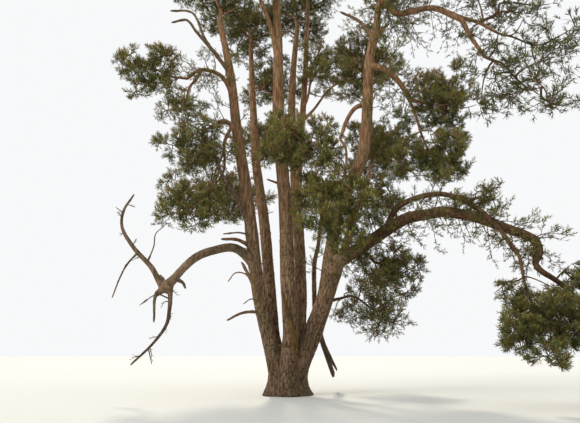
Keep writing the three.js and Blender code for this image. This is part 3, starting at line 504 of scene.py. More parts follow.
class Course:
    """A smooth line through places, read by share of its length: between two places it is the cubic of a
    centripetal Catmull-Rom spline, and beyond each end the next place is the mirror of the last but one."""

    SAMPLES = 200

    def __init__(self, places):
        """Works out the cubic of each stretch, and how far along the line evenly spaced times are."""
        p = np.asarray(places, float)
        p = np.vstack([2 * p[0] - p[1], p, 2 * p[-1] - p[-2]])
        step = np.sqrt(length_of(np.diff(p, axis=0)))
        a, b, c = step[:-2], step[1:-1], step[2:]
        p0, p1, p2, p3 = p[:-3], p[1:-2], p[2:-1], p[3:]
        out = ((p1 - p0) / a - (p2 - p0) / (a + b) + (p2 - p1) / b) * b
        into = ((p2 - p1) / b - (p3 - p1) / (b + c) + (p3 - p2) / c) * b
        self.cubic = np.stack([p1, out, -3 * p1 + 3 * p2 - 2 * out - into, 2 * p1 - 2 * p2 + out + into])
        self.time = np.linspace(0, 1, self.SAMPLES + 1)
        self.run = np.concatenate([[0], np.cumsum(length_of(np.diff(self._place(self.time), axis=0)))])
        self.length = self.run[-1]

    def _part(self, time):
        """The cubics that times fall in, and how far through its stretch each one is."""
        parts = self.cubic.shape[1]
        k = np.clip((time * parts).astype(int), 0, parts - 1)
        return self.cubic[:, k], (time * parts - k)[:, None]

    def _place(self, time):
        """Places at times, by c0 + w (c1 + w (c2 + w c3))."""
        (c0, c1, c2, c3), w = self._part(time)
        return c0 + w * (c1 + w * (c2 + w * c3))

    def at(self, share):
        """Places at shares of the length."""
        return self._place(np.interp(np.atleast_1d(share) * self.length, self.run, self.time))

    def tangent(self, share):
        """Directions at shares of the length, from the cubic's derivative."""
        time = np.interp(np.atleast_1d(share) * self.length, self.run, self.time)
        (_, c1, c2, c3), w = self._part(time)
        return unit(c1 + w * (2 * c2 + w * 3 * c3))

    def frames(self, shares):
        """Tangents, and two directions across the line that are carried along it without a twist."""
        tangents = self.tangent(shares)
        normal = np.cross((0.0, 1.0, 0.0), self.tangent(0)[0])
        if np.linalg.norm(normal) < 0.2:
            normal = np.array((1.0, 0.0, 0.0))
        normals = np.empty_like(tangents)
        for k, tangent in enumerate(tangents):
            normal = normal - (normal @ tangent) * tangent
            normal = normal / np.linalg.norm(normal)
            normals[k] = normal
        return tangents, normals, np.cross(tangents, normals)

    def share_at_height(self, height):
        """The share of the length at which the line first comes nearest to a height."""
        shares = np.linspace(0, 1, 401)
        return shares[np.argmin(np.abs(self.at(shares)[:, 2] - height))]


class Limb:
    """A limb's course and its radius by share of its length, for whatever springs from it."""

    def __init__(self, course, radius, bark, parent=None, start=0.0):
        self.course, self.radius, self.bark = course, radius, bark
        self.parent, self.start, self.children = parent, start, []
        self.carried_on = False


def seed_of(kind, k=0):
    """The seed for a kind's piece number k."""
    first, step = SEEDS[kind]
    return first + step * k


def is_stem(name):
    """Whether the limb of that name is one of the ten stems."""
    return "stem" in name


def stem_radius(course, at_foot, at_tip):
    """A stem's radius: its taper by share to the power 2.5, with a swelling in the bole that falls evenly
    to the fork, and a root flare that dies away exponentially with height."""
    def radius(share):
        share = np.atleast_1d(share)
        height = course.at(share)[:, 2]
        swell = BOLE_SWELL * np.maximum(0, 1 - height / FORK_HEIGHT)
        return at_foot + (at_tip - at_foot) * share ** 2.5 + swell + FLARE * np.exp(-height / FLARE_HEIGHT)
    return radius


def even_taper(thick, thin):
    """A radius that falls evenly with the share of the length."""
    return lambda share: thick + (thin - thick) * np.atleast_1d(share)


def place_on(parent, where):
    """The share of a parent's length that a table's "where" names."""
    if where == "tip":
        return 1.0
    return where[1] if isinstance(where, tuple) else parent.course.share_at_height(where)


def lay_out_limbs():
    """Every stem, bough and dead limb by name, on the same courses as the solids. A limb starts on its
    parent's own line, and one that carries a tip on first runs its thickness further that way."""
    limbs = {}
    for name, ((foot, tip), path) in STEMS.items():
        course = Course(path)
        limbs[name] = Limb(course, stem_radius(course, foot, tip), "old")
    for name, (on, where, (thick, thin), bark, path) in LIMBS.items():
        parent = limbs[on]
        share = place_on(parent, where)
        start = parent.course.at(share)[0]
        lead = [start + parent.course.tangent(share)[0] * thick] if where == "tip" else []
        limb = Limb(Course([start, *lead, *path]), even_taper(thick, thin), bark, parent, share)
        parent.carried_on |= where == "tip"
        if where != "tip":
            parent.children.append((share, limb.course.at(0.3)[0] - start, thick))
        limbs[name] = limb
    for name, twigs in SIDE_LIMBS.items():
        parent = limbs[name]
        for share, radius, path in twigs:
            start = parent.course.at(share)[0]
            parent.children.append((share, np.asarray(path[0]) - start, radius))
    return limbs


LIMBS_LAID = lay_out_limbs()


def lattice_noise(across, along, columns, rows, seed):
    """Smooth noise from -1 to 1 that joins up round a limb: random values on a lattice, blended between
    the four corners of each cell by the smooth step. across and along run from 0 to 1."""
    table = np.random.default_rng(seed).uniform(-1, 1, (rows + 2, columns))
    x, y = across * columns, np.clip(along, 0, 1) * rows
    i, j = np.floor(x).astype(int), np.floor(y).astype(int)
    fx, fy = smoothstep(x - i), smoothstep(y - j)
    left, right = i % columns, (i + 1) % columns
    low = table[j, left] * (1 - fx) + table[j, right] * fx
    high = table[j + 1, left] * (1 - fx) + table[j + 1, right] * fx
    return low * (1 - fy) + high * fy


def crack_distance(across, along, columns, rows, seed, tall=1.0):
    """How far each point is from the nearest crack between bark plates, in plates: each plate grows round
    one point that is shaken off a lattice, and the value is the distance to the second nearest such point
    less the distance to the nearest. tall is how much more a step along counts than one across."""
    shake = np.random.default_rng(seed).uniform(*PLATE_PLACE, (rows + 3, columns, 2))
    x, y = across * columns, np.clip(along, 0, 1) * rows
    i, j = np.floor(x).astype(int), np.floor(y).astype(int)
    gaps = []
    for down in (-1, 0, 1):
        for side in (-1, 0, 1):
            point = shake[j + down + 1, (i + side) % columns]
            gaps.append(np.hypot(i + side + point[..., 0] - x, tall * (j + down + point[..., 1] - y)))
    nearest = np.partition(np.stack(gaps), 1, axis=0)
    return nearest[1] - nearest[0]


def new_mesh(name, vertices, faces, smooth=True, marks=None):
    """A mesh object from whole arrays: faces is a list of arrays, one for each number of corners, and
    marks is a value of three channels for each vertex, kept as the attribute that its bark reads."""
    mesh = bpy.data.meshes.new(name)
    loops = np.concatenate([f.ravel() for f in faces]).astype(np.int32)
    sizes = np.concatenate([np.full(len(f), f.shape[1]) for f in faces])
    mesh.vertices.add(len(vertices))
    mesh.vertices.foreach_set("co", np.ascontiguousarray(vertices, np.float32).ravel())
    mesh.loops.add(len(loops))
    mesh.loops.foreach_set("vertex_index", loops)
    mesh.polygons.add(len(sizes))
    mesh.polygons.foreach_set("loop_start", np.concatenate([[0], np.cumsum(sizes)[:-1]]).astype(np.int32))
    mesh.polygons.foreach_set("use_smooth", np.full(len(sizes), smooth))
    mesh.update(calc_edges=True)
    if marks is not None:
        colours = np.column_stack([marks, np.ones(len(marks))])
        mesh.attributes.new("bark", "FLOAT_COLOR", "POINT").data.foreach_set("color", colours.ravel())
    piece = bpy.data.objects.new(name, mesh)
    bpy.context.scene.collection.objects.link(piece)
    return piece


def finish_piece(piece, material, slot, nodes):
    """Gives a piece its material and its body, and hides the solids that it stands for.
    slot is not used.
    """
    piece.data.materials.append(material)
    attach(piece, "root")
    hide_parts(*nodes)
    return piece


def grid_faces(rings, sides):
    """Quads between rings of a grid that joins up round its sides, and a fan to a pole at each end: the
    poles are the two vertices after the grid. Faces point outwards where each ring runs anticlockwise
    about the way to the next."""
    ring, side = np.meshgrid(np.arange(rings - 1), np.arange(sides), indexing="ij")
    after = (side + 1) % sides
    quads = np.stack([ring * sides + side, ring * sides + after,
                      (ring + 1) * sides + after, (ring + 1) * sides + side], -1).reshape(-1, 4)
    side, after, last = np.arange(sides), after[0], (rings - 1) * sides
    low = np.stack([after, side, np.full(sides, rings * sides)], -1)
    high = np.stack([last + side, last + after, np.full(sides, rings * sides + 1)], -1)
    return [quads, np.vstack([low, high])]


def joined(parts):
    """Vertices and faces of several surfaces as one, and their marks where they have some."""
    vertices = np.vstack([part[0] for part in parts])
    starts = np.cumsum([0] + [len(part[0]) for part in parts[:-1]])
    faces = [np.vstack([kind + start for kind, start in zip(kinds, starts)])
             for kinds in zip(*(part[1] for part in parts))]
    marks = np.vstack([part[2] for part in parts]) if len(parts[0]) > 2 else None
    return vertices, faces, marks


def swept(course, radii, shares, sides, relief, lean_out=None):
    """A surface carried along a course: each point is the course's place, plus its ring's radius and the
    relief there, times the direction that turns evenly round the ring. relief is an array of rings by
    sides, and lean_out moves the last ring's points along the course, for a torn end."""
    tangents, normals, across = course.frames(shares)
    turn = np.linspace(0, 2 * np.pi, sides, endpoint=False)
    spoke = np.cos(turn)[None, :, None] * normals[:, None] + np.sin(turn)[None, :, None] * across[:, None]
    centre = course.at(shares)
    grid = centre[:, None] + (radii[:, None] + relief)[..., None] * spoke
    ends = centre[[0, -1]]
    if lean_out is not None:
        grid[-1] += lean_out[:, None] * tangents[-1]
        ends = ends + np.array([[0.0], [lean_out.mean()]]) * tangents[-1]
    return np.vstack([grid.reshape(-1, 3), ends])


def with_poles(values):
    """A grid of values as a column, with the mean of the first and last ring for the two poles."""
    return np.concatenate([values.ravel(), [values[0].mean(), values[-1].mean()]])


def turned_from(turn, angle):
    """How far directions are turned from an angle, the shorter way round."""
    return (turn - angle + np.pi) % (2 * np.pi) - np.pi


def collars(limb, shares, turn, radii):
    """How much a limb swells where others spring from it: for each, a share of its radius times a bell
    curve of the distance over the surface from the middle of the joint."""
    swell = np.zeros((len(shares), len(turn)))
    for share, way, thick in limb.children:
        _, normal, across = (a[-1] for a in limb.course.frames(np.array([0.0, share])))
        off = turned_from(turn, np.arctan2(way @ across, way @ normal))
        run = (shares - share) * limb.course.length
        gap = np.hypot(run[:, None] / (COLLAR_RUN * thick),
                       off[None, :] * radii[:, None] / (COLLAR_SPREAD * thick))
        swell += COLLAR_RISE * thick * np.exp(-gap ** 2)
    return swell


def knots(limb, shares, turn, radii, seed):
    """Old branch scars: low round swellings with a dimple, scattered along a limb. Each is a bell curve of
    the distance over the surface, less a narrower one."""
    rng = np.random.default_rng(seed)
    swell = np.zeros((len(shares), len(turn)))
    deep, narrow = DIMPLE
    for _ in range(int(limb.course.length * KNOTS_PER_METRE)):
        share, angle, wide = rng.uniform(0.05, 0.95), rng.uniform(0, 2 * np.pi), rng.uniform(*KNOT_SIZES)
        off = turned_from(turn, angle)
        gap = np.hypot((shares - share)[:, None] * limb.course.length, off[None, :] * radii[:, None]) / wide
        swell += KNOT_RISE * wide * (np.exp(-gap ** 2) - deep * np.exp(-(gap / narrow) ** 2))
    return swell


def cells(girth, run, cell, fewest):
    """How many cells of a size cover a limb's bark round its girth and along its run, and no fewer than
    the fewest."""
    return max(fewest[0], round(girth / cell[0])), max(fewest[1], round(run / cell[1]))


def bark_relief(across, along, run, girth, age, depth, sizes, seed):
    """Relief of bark and the marks that its colour reads. Old bark has plates parted by deep cracks that
    wander, and young bark thin flakes: each is the distance to the nearest crack, cut off and smoothed.
    Both lie on slow swellings. run and girth are the limb's length and mean girth in metres."""
    wander = lattice_noise(across, along, *cells(girth, run, *SWELLINGS), seed)
    shift = CRACK_SHIFT * lattice_noise(across, along, *cells(girth, run, *CRACK_WANDER), seed + 1)
    columns, rows = cells(girth, run, (sizes.plate_width, sizes.plate_height), FEWEST_PLATES)
    split = crack_distance(across + shift / columns, along + shift / rows, columns, rows, seed + 2,
                           PLATE_TALL)
    face = smoothstep(split / CRACK_WIDTH)
    split = crack_distance(across - shift / columns, along, *cells(girth, run, *FLAKES), seed + 3)
    flake = smoothstep(split / FLAKE_GAP)
    grain = lattice_noise(across, along, columns * 3, max(4, round(run / GRAIN_RUN)), seed + 4)
    relief = age * depth * (face - SUNK) + (1 - age) * sizes.flake_depth * (flake - SUNK)
    relief = relief + SWELLING_RISE * wander * girth / (2 * np.pi) + GRAIN_RISE * depth * grain
    return relief, age * face + (1 - age) * (FLAKE_FACE + (1 - FLAKE_FACE) * flake), grain


def bole_reach(heights, turn):
    """How far the bole's surface lies from its middle line, for each height and direction: the furthest
    point of every stem's foot that a ray meets, joined by a smooth maximum. A ray that misses a foot
    counts less the further it passes, so that hollows run up between the feet."""
    shares = np.linspace(0, 0.3, 120)
    feet = []
    for name in STEMS:
        limb = LIMBS_LAID[name]
        places = limb.course.at(shares)
        radii = limb.radius(shares)
        feet.append(np.column_stack([np.interp(heights, places[:, 2], column)
                                     for column in (places[:, 0], places[:, 1], radii)]))
    feet = np.stack(feet)
    middle = feet[..., :2].mean(axis=0)
    way = np.stack([np.cos(turn), np.sin(turn)])
    offset = feet[..., :2] - middle
    ahead = np.einsum("fhk,kt->fht", offset, way)
    aside = np.abs(offset[..., 0:1] * way[1] - offset[..., 1:2] * way[0])
    radius = feet[..., 2:3]
    miss = np.maximum(aside - radius, 0)
    reach = ahead + np.sqrt(np.maximum(radius ** 2 - aside ** 2, 0)) - BOLE_MISS * miss
    top = reach.max(axis=0)
    blend = np.log(np.exp(BOLE_SHARPNESS * (reach - top)).sum(axis=0)) / BOLE_SHARPNESS
    return middle, top + blend - BOLE_INSET


def make_bole(sizes, colours):
    """The bole: a surface of height and direction round the feet of the stems. Its radius is bole_reach,
    with root ridges that die away with height, and plated bark. It closes flat at the ground, and at the
    top it draws in under the fork, inside the stems that part there."""
    heights = np.concatenate([np.linspace(*stretch) for stretch in BOLE_RINGS])
    turn = np.linspace(0, 2 * np.pi, BOLE_SIDES, endpoint=False)
    middle, reach = bole_reach(heights, turn)
    around, up = np.meshgrid(turn / (2 * np.pi), heights / heights[-1])
    ridges = lattice_noise(around, 0.2 * up, RIDGES, 3, seed_of("bole", 1))
    reach = reach + RIDGE_HEIGHT * np.maximum(ridges, -0.3) * np.exp(-heights / RIDGE_REACH)[:, None]
    relief, face, grain = bark_relief(around, up, heights[-1], BOLE_GIRTH, np.ones_like(up),
                                      sizes.fissure_depth * 1.2, sizes, seed_of("bole"))
    first, over, share = CLOSING
    reach = np.maximum(reach, 0.05) * (1 - smoothstep((heights - first) / over)[:, None] * share) + relief
    grid = np.stack([middle[:, None, 0] + reach * np.cos(turn), middle[:, None, 1] + reach * np.sin(turn),
                     np.broadcast_to(heights[:, None], reach.shape)], -1)
    ends = np.array([[*middle[0], 0.0], [*middle[-1], heights[-1] + 0.05]])
    marks = np.column_stack([with_poles(face), np.zeros(grid.size // 3 + 2), with_poles(0.5 + 0.5 * grain)])
    piece = new_mesh("bole_bark", np.vstack([grid.reshape(-1, 3), ends]),
                     grid_faces(len(heights), BOLE_SIDES), marks=marks)
    return finish_piece(piece, bark_of("old", colours), "old_bark", ["trunk"])


def bark_tube(limb, kind, age_at, depth, sizes, seed, torn=False):
    """One limb's bark, with the sides and rings of its kind. How thick a stem is, is read half way up,
    clear of its foot. The radius swells where the limb leaves its parent and at its own joints and scars,
    and draws in where another carries it on. A torn end leans out by noise round its rim."""
    course = limb.course
    thick, many, few, step = TUBES[kind]
    sides = many if limb.radius(0.5 if kind == "stem" else 0.0)[0] > thick else few
    rings = max(FEWEST_RINGS, int(course.length / step))
    shares = np.linspace(0, 1, rings) ** (STEM_LEAN if kind == "stem" else 1)
    radii = limb.radius(shares)
    run = shares * course.length
    if limb.parent is not None and limb.start < 1:
        clear = np.maximum(run - 0.8 * limb.parent.radius(limb.start)[0], 0)
        radii = radii * (1 + FOOT_SWELL * np.exp(-clear / (FOOT_RUN * radii[0])))
    if limb.carried_on:
        radii = radii * (1 - TIP_SHRINK * smoothstep((run - course.length + TIP_RUN) / TIP_RUN))
    turn = np.linspace(0, 2 * np.pi, sides, endpoint=False)
    around, along = np.meshgrid(turn / (2 * np.pi), shares)
    age = np.broadcast_to(age_at(course.at(shares))[:, None], around.shape)
    girth = 2 * np.pi * radii.mean()
    relief, face, grain = bark_relief(around, along, course.length, girth, age, depth, sizes, seed)
    relief = np.maximum(relief, -DEEPEST * radii[:, None])
    relief = relief + collars(limb, shares, turn, radii) + knots(limb, shares, turn, radii, seed + 9)
    lean_out = None
    if torn:
        mean, more = SPLINTER_REACH
        ragged = lattice_noise(around[0], 0 * around[0], SPLINTERS, 1, seed)
        lean_out = radii[-1] * (mean + more * ragged)
        relief[-1] -= DEEPEST * radii[-1]
    vertices = swept(course, radii, shares, sides, relief, lean_out)
    marks = np.column_stack([with_poles(face), with_poles(1 - age), with_poles(0.5 + 0.5 * grain)])
    return vertices, grid_faces(rings, sides), marks


def stem_age(places):
    """Old plated bark low down, which gives way to thin orange bark above about 9 m."""
    full, over = STEM_AGES
    return 1 - smoothstep((places[:, 2] - full) / over)


def even_age(kind):
    """The age of a kind's bark or wood, the same at all places."""
    return lambda places: np.full(len(places), AGES[kind])


def age_from(start, age, blend):
    """An age that grows from 0 near a start to its full value, by the smooth step of the distance."""
    return lambda places: age * smoothstep((length_of(places - start)[:, 0] - 0.4 * blend) / blend)


def side_tubes(name, sizes, seed):
    """The stubs and twigs that are one piece with a limb, each torn off at its end."""
    limb, parts = LIMBS_LAID[name], []
    for k, (share, radius, path) in enumerate(SIDE_LIMBS.get(name, ())):
        course = Course([limb.course.at(share)[0], *path])
        twig = Limb(course, even_taper(radius, STUB_TAPER * radius), "dead", limb, share)
        parts.append(bark_tube(twig, "side", even_age("side"), STUB_CRACKS * radius, sizes,
                               seed + 31 * k, torn=True))
    return parts


def bark_piece(name, tubes, material, slot, node_name):
    """One piece of bark or wood from the tubes of a limb and its stubs, none of it below the lowest."""
    vertices, faces, marks = joined(tubes)
    vertices[:, 2] = np.maximum(vertices[:, 2], LOWEST)
    finish_piece(new_mesh(name, vertices, faces, marks=marks), material, slot, [node_name])


def make_stems(sizes, colours):
    """The ten stems, each a bark tube that starts inside the bole or inside the stem it springs from."""
    for k, name in enumerate(filter(is_stem, LIMBS_LAID)):
        limb = LIMBS_LAID[name]
        tubes = [bark_tube(limb, "stem", stem_age, sizes.fissure_depth, sizes, seed_of("stems", k)),
                 *side_tubes(name, sizes, seed_of("stubs", k))]
        bark_piece(name + "_bark", tubes, bark_of("old", colours), "old_bark", name)


def make_boughs(sizes, colours):
    """The living boughs: plated and mossy bark with painted shade on the long arch, and thin orange bark
    on the young ones.
    """
    for k, (name, limb) in enumerate(LIMBS_LAID.items()):
        if is_stem(name) or limb.bark == "dead":
            continue
        blend = ARCH_BLEND if name == "arch_bough_rise" else 1e-3
        age_at = age_from(limb.course.at(0)[0], AGES[limb.bark], blend)
        depth = min(sizes.fissure_depth, BOUGH_CRACKS * limb.radius(0.0)[0])
        tube = bark_tube(limb, "bough", age_at, depth, sizes, seed_of("boughs", k))
        material = bark_of("mossy" if limb.bark == "old" else "young", colours)
        bark_piece(name + "_bark", [tube], material, limb.bark + "_bark", name)


def make_dead_limbs(sizes, colours):
    """The dead limbs, bare wood with torn ends and fine dead twigs that fork from them, and the strip of
    torn wood on the middle stem."""
    for k, (name, limb) in enumerate(LIMBS_LAID.items()):
        if limb.bark != "dead":
            continue
        depth = min(DEAD_DEPTH, DEAD_CRACKS * limb.radius(0.0)[0])
        tubes = [bark_tube(limb, "dead", even_age("dead"), depth, sizes, seed_of("dead limbs", k),
                           torn=not limb.carried_on),
                 *side_tubes(name, sizes, seed_of("dead twigs", k))]
        bark_piece(name + "_wood", tubes, bark_of("dead", colours), "dead_wood", name)
    strip = Limb(Course(TORN_STRIP), even_taper(*STRIP_RADII), "dead")
    tube = bark_tube(strip, "strip", even_age("strip"), STRIP_DEPTH, sizes, seed_of("strip"), torn=True)
    bark_piece("torn_strip_wood", [tube], bark_of("torn", colours), "dead_wood", "stem_middle")


def nearest_wood(points, runs, tip):
    """The place to fork from: the one with the shortest way to the tip, where wood that is far along
    counts as further off by a share of its run, so that twigs fork early as real ones do."""
    return np.argmin(np.linalg.norm(points - tip, axis=1) + FORK_DELAY * runs)


def grow_twigs(points, runs, tips, forks):
    """Roots for tips in turn, by the rule of the source: each twig starts at the nearest wood, and adds
    its own forks at shares of its way for the twigs after it. Returns roots, and the wood with them."""
    roots = np.empty_like(tips)
    for k, tip in enumerate(tips):
        near = nearest_wood(points, runs, tip)
        roots[k] = points[near]
        way = tip - roots[k]
        extra = roots[k] + np.outer(forks, way)
        points = np.vstack([points, extra])
        runs = np.concatenate([runs, runs[near] + forks * np.linalg.norm(way)])
    return roots, points, runs


def spiral_tips(count, centre, reach, turn, depths):
    """Tips on an ellipsoid by the even rule of the source: each is turned by the golden angle from the
    last, their heights fall evenly from top to bottom, and depths sets how far out each one lies."""
    k = np.arange(count)
    up = 1 - 2 * (k + 0.5) / count
    out = np.sqrt(1 - up ** 2)
    angle = k * GOLDEN_TURN + turn
    ways = np.column_stack([out * np.cos(angle), out * np.sin(angle), up])
    return centre + ways * reach * np.asarray(depths)[k % len(depths), None]


def bent_lines(roots, tips, bow, shares):
    """Places at shares of many twigs at once, as an array of twigs by shares by places: straight from root
    to tip, plus 4t(1 - t) times the bow."""
    t = np.asarray(shares)[None, :, None]
    return roots[:, None] * (1 - t) + tips[:, None] * t + bow[:, None] * (4 * t * (1 - t))


def bows(shape, bow, rng):
    """How far lines bow, as an array of that shape: at random each way, and all by the same upwards."""
    spread, up = bow
    return rng.normal(0, spread, shape) + np.array([0, 0, up])


def line_tubes(lines, thick, thin, sides=3):
    """Tubes of a few sides along many lines at once: rings of the radius that tapers along each line,
    about directions across it, and a point at the end. The open start is sunk in the wood it grows on."""
    count, rings, _ = lines.shape
    tangents = unit(np.gradient(lines, axis=1))
    mean = unit(lines[:, -1] - lines[:, 0])
    aid = np.where(np.abs(mean[:, 2:3]) > 0.9, np.array([[1.0, 0.0, 0.0]]), np.array([[0.0, 0.0, 1.0]]))
    normals = unit(np.cross(tangents, aid[:, None]))
    across = np.cross(tangents, normals)
    turn = np.linspace(0, 2 * np.pi, sides, endpoint=False)
    share = np.linspace(0, 1, rings)[:-1]
    radii = np.broadcast_to(thick + (thin - thick) * share, (count, rings - 1))
    spoke = normals[:, :-1, None] * np.cos(turn)[:, None] + across[:, :-1, None] * np.sin(turn)[:, None]
    rings_at = lines[:, :-1, None] + radii[..., None, None] * spoke
    vertices = np.concatenate([rings_at.reshape(count, -1, 3), lines[:, -1:]], axis=1)
    per = (rings - 1) * sides + 1
    quads, fan = [], []
    for side in range(sides):
        after = (side + 1) % sides
        for ring in range(rings - 2):
            low, high = ring * sides, (ring + 1) * sides
            quads += [[low + side, low + after, high + after], [low + side, high + after, high + side]]
        fan.append([(rings - 2) * sides + side, (rings - 2) * sides + after, per - 1])
    return vertices.reshape(-1, 3), [repeated(quads + fan, count, per)]


def repeated(faces, count, per):
    """The faces of many like shapes in a row, from those of the first and the vertices in each."""
    return (np.array(faces)[None] + (np.arange(count) * per)[:, None, None]).reshape(-1, 3)


def slivers(feet, ends, width):
    """Shoots of one face each: a foot of the given width across each one, and a point at its end."""
    aside = unit(np.cross(ends - feet, np.array([0.3, 0.9, 0.3]))) * width / 2
    vertices = np.stack([feet - aside, feet + aside, ends], axis=1).reshape(-1, 3)
    return vertices, [repeated([[0, 1, 2]], len(feet), 3)]


def shoots_along(roots, tips, bow, count, rng):
    """Feet and directions of shoots along many lines at once, up to the tip. A shoot points more along its
    line the nearer it is to the tip. The rest of its way is out from the line, turned by the golden angle
    from shoot to shoot, and a little up."""
    t = np.linspace(FIRST_SHOOT, 1.0, count)
    feet = bent_lines(roots, tips, bow, t)
    way = unit(tips - roots)
    normal = unit(np.cross(way, rng.normal(size=way.shape)))
    across = np.cross(way, normal)
    turn = (np.arange(count) * GOLDEN_TURN + rng.uniform(0, 2 * np.pi, (len(tips), 1)))[..., None]
    out = np.cos(turn) * normal[:, None] + np.sin(turn) * across[:, None]
    t = t[:, None]
    ahead, outwards = (start + more * t for start, more in (SHOOT_AHEAD, SHOOT_OUT))
    ways = unit(ahead * way[:, None] + outwards * out + np.array([0, 0, SHOOT_UP]))
    return feet.reshape(-1, 3), ways.reshape(-1, 3)


def needles_on(feet, ways, lengths, scale, sizes, rng):
    """Needles of many sprays at once, in pairs as a pine bears them: both needles of a pair are spikes
    that share their foot. Along a spray each pair starts a little further on and turns by the golden
    angle, and it leans forward more towards the end."""
    count, per = len(feet), sizes.pairs_per_spray
    share = np.linspace(PAIRS_FROM, 1.0, per)[None, :] + rng.uniform(-PAIR_SHAKE, PAIR_SHAKE, (count, per))
    turn = np.arange(per)[None, :] * GOLDEN_TURN + rng.uniform(0, 2 * np.pi, (count, 1))
    normal = unit(np.cross(ways, rng.normal(size=(count, 3))))
    across = np.cross(ways, normal)
    lean, fewer = NEEDLE_LEAN
    spread = np.radians(lean - fewer * share) * rng.uniform(*LEAN_RANGE, (count, per))
    out = np.cos(turn)[..., None] * normal[:, None] + np.sin(turn)[..., None] * across[:, None]
    axis = unit(np.cos(spread)[..., None] * ways[:, None] + np.sin(spread)[..., None] * out)
    foot = feet[:, None] + (lengths[:, None] * share)[..., None] * ways[:, None]
    aside = unit(np.cross(axis, rng.normal(size=axis.shape)))
    reach = scale * sizes.needle_length * rng.uniform(*NEEDLE_LENGTHS, (count, per, 1))
    half = 0.5 * scale * sizes.needle_width * aside
    apart, askew = PAIR_PARTING
    part = apart * np.cross(axis, aside) + askew * aside
    ends = [foot + reach * (axis + part), foot + reach * (axis - part)]
    vertices = np.stack([foot - half, foot + half, *ends], axis=2).reshape(-1, 3)
    return vertices, [repeated([[0, 1, 2], [1, 0, 3]], count * per, 4)]


def leaf_out(roots, tips, bow, reach, per, scale, fits, sizes, rng):
    """Twigs leafed out: twiglets along each, as long as reach and a share drawn for each, and a number of
    sprays along those. A twiglet or spray whose end doesn't fit its space is left out. Returns the wood as
    tubes, and the sprays' feet, directions, lengths and ends."""
    twigs = bent_lines(roots, tips, bow, np.linspace(0, 1, PLACES["twig"]))
    feet, ways = shoots_along(roots, tips, bow, sizes.twiglets_per_twig, rng)
    ends = feet + ways * rng.uniform(*TWIGLET_LENGTHS, (len(feet), 1)) * reach
    inside = fits(ends, FARTHEST["twiglet"])
    feet, ends = feet[inside], ends[inside]
    bow = bows(feet.shape, TWIGLET_BOW, rng) * length_of(ends - feet)
    twiglets = bent_lines(feet, ends, bow, np.linspace(0, 1, PLACES["twiglet"]))
    wood = [line_tubes(twigs, *TWIG_RADII), line_tubes(twiglets, *TWIGLET_RADII)]
    if not per:
        return wood, None
    feet, ways = shoots_along(feet, ends, bow, per, rng)
    lengths = scale * sizes.spray_length * rng.uniform(*SPRAY_LENGTHS, len(feet))
    ends = feet + ways * (lengths + BEYOND_SHOOT * scale * sizes.needle_length)[:, None]
    inside = fits(ends, FARTHEST["spray"])
    feet, ways, lengths, ends = feet[inside], ways[inside], lengths[inside], ends[inside]
    return [*wood, slivers(feet, ends, SHOOT_WIDTH)], (feet, ways, lengths, ends)


def candles_at(places, scale, rng):
    """Candles, the upright shoots that a pine bears in spring: spikes of three faces each."""
    tops = places + scale * (rng.normal(0, CANDLE_LEAN, places.shape) + CANDLE_UP)
    return line_tubes(np.stack([places, tops], axis=1), CANDLE_RADIUS * scale, CANDLE_RADIUS * scale)


def ripple(places, wave):
    """A smooth value from -1 to 1 by place: the product of three sines, one along each axis, whose
    wavelengths differ a little."""
    turns = 2 * np.pi * places / (wave * np.array(RIPPLE_WAVES)) + np.array(RIPPLE_SHIFTS)
    return np.prod(np.sin(turns), axis=1)


def in_box(places):
    """Whether places are inside the solids' box, or past it by no more than the spare share of its side."""
    low, high = np.array(CAD_BOX)
    spare = BOX_SPARE * (high - low)
    return np.all((places > low - spare) & (places < high + spare), axis=1)


def toned(light, part, rng):
    """The tone of each spray as a place in TONES, by how many of TONE_STEPS its light is past, with a few
    old ones dealt out at random."""
    tone = np.digitize(light + part.light + rng.normal(0, LIGHT_BY_SPRAY, len(light)), TONE_STEPS)
    return np.where(rng.random(len(light)) < part.straw, len(TONES) - 1, tone)


class Lobes:
    """The space of a mass: a lobe round its middle and one round each frond, with ragged edges."""

    def __init__(self, centre, tips, size, rng):
        self.middles = np.vstack([centre, centre + LOBE_PLACE * (tips - centre)])
        self.spans = size * rng.uniform(*LOBE_SPAN, (len(tips) + 1, 1)) * LOBE_SHAPE

    def depth_of(self, places):
        """How far out each place lies in the lobe that it is deepest in, from 0 in its middle to 1 at its
        edge: the length of its way from the middle, with each axis divided by the lobe's half-axis."""
        return np.linalg.norm((places[:, None] - self.middles) / self.spans, axis=2).min(axis=1)

    def fits(self, places, most):
        """Whether places lie no further out than most, which the ripple makes ragged, and in the box."""
        return (self.depth_of(places) < most + LOBE_RAGGED * ripple(places, LOBE_WAVE)) & in_box(places)


def mass_course(on, where, via, centre, reach):
    """The line of a mass's own stem, which carries a limb's tip on or springs from its side, and goes
    through the mass's middle and on past it. Returns it with its radius at the start."""
    parent = LIMBS_LAID[on]
    share = place_on(parent, where)
    start, along = parent.course.at(share)[0], parent.course.tangent(share)[0]
    thick, lead = SIDE_STEM, []
    if where == "tip":
        thick = STEM_SHARE * parent.radius(1.0)[0]
        lead = [start + 2 * thick * along]
        start = start - thick * along
    beyond = centre + unit(centre - start) * reach * STEM_BEYOND
    return Course([start, *lead, *via, centre, beyond]), thick


def swaying(course, shares, size, turn):
    """Places along a mass's stem at shares of its length, which sways by a sine along each axis, less and
    less towards both ends."""
    sway = np.sin(np.outer(shares, SWAY_TURNS) + turn) * np.sin(np.pi * shares)[:, None]
    return course.at(shares) + STEM_SWAY * size * sway


# What grows in one mass or along one bough: its boughs, twigs and candles as tubes, its sprays as feet,
# directions, lengths and tones, the scale of its needles, and the random numbers to go on with.
Growth = namedtuple("Growth", "boughs twigs candles sprays scale rng")


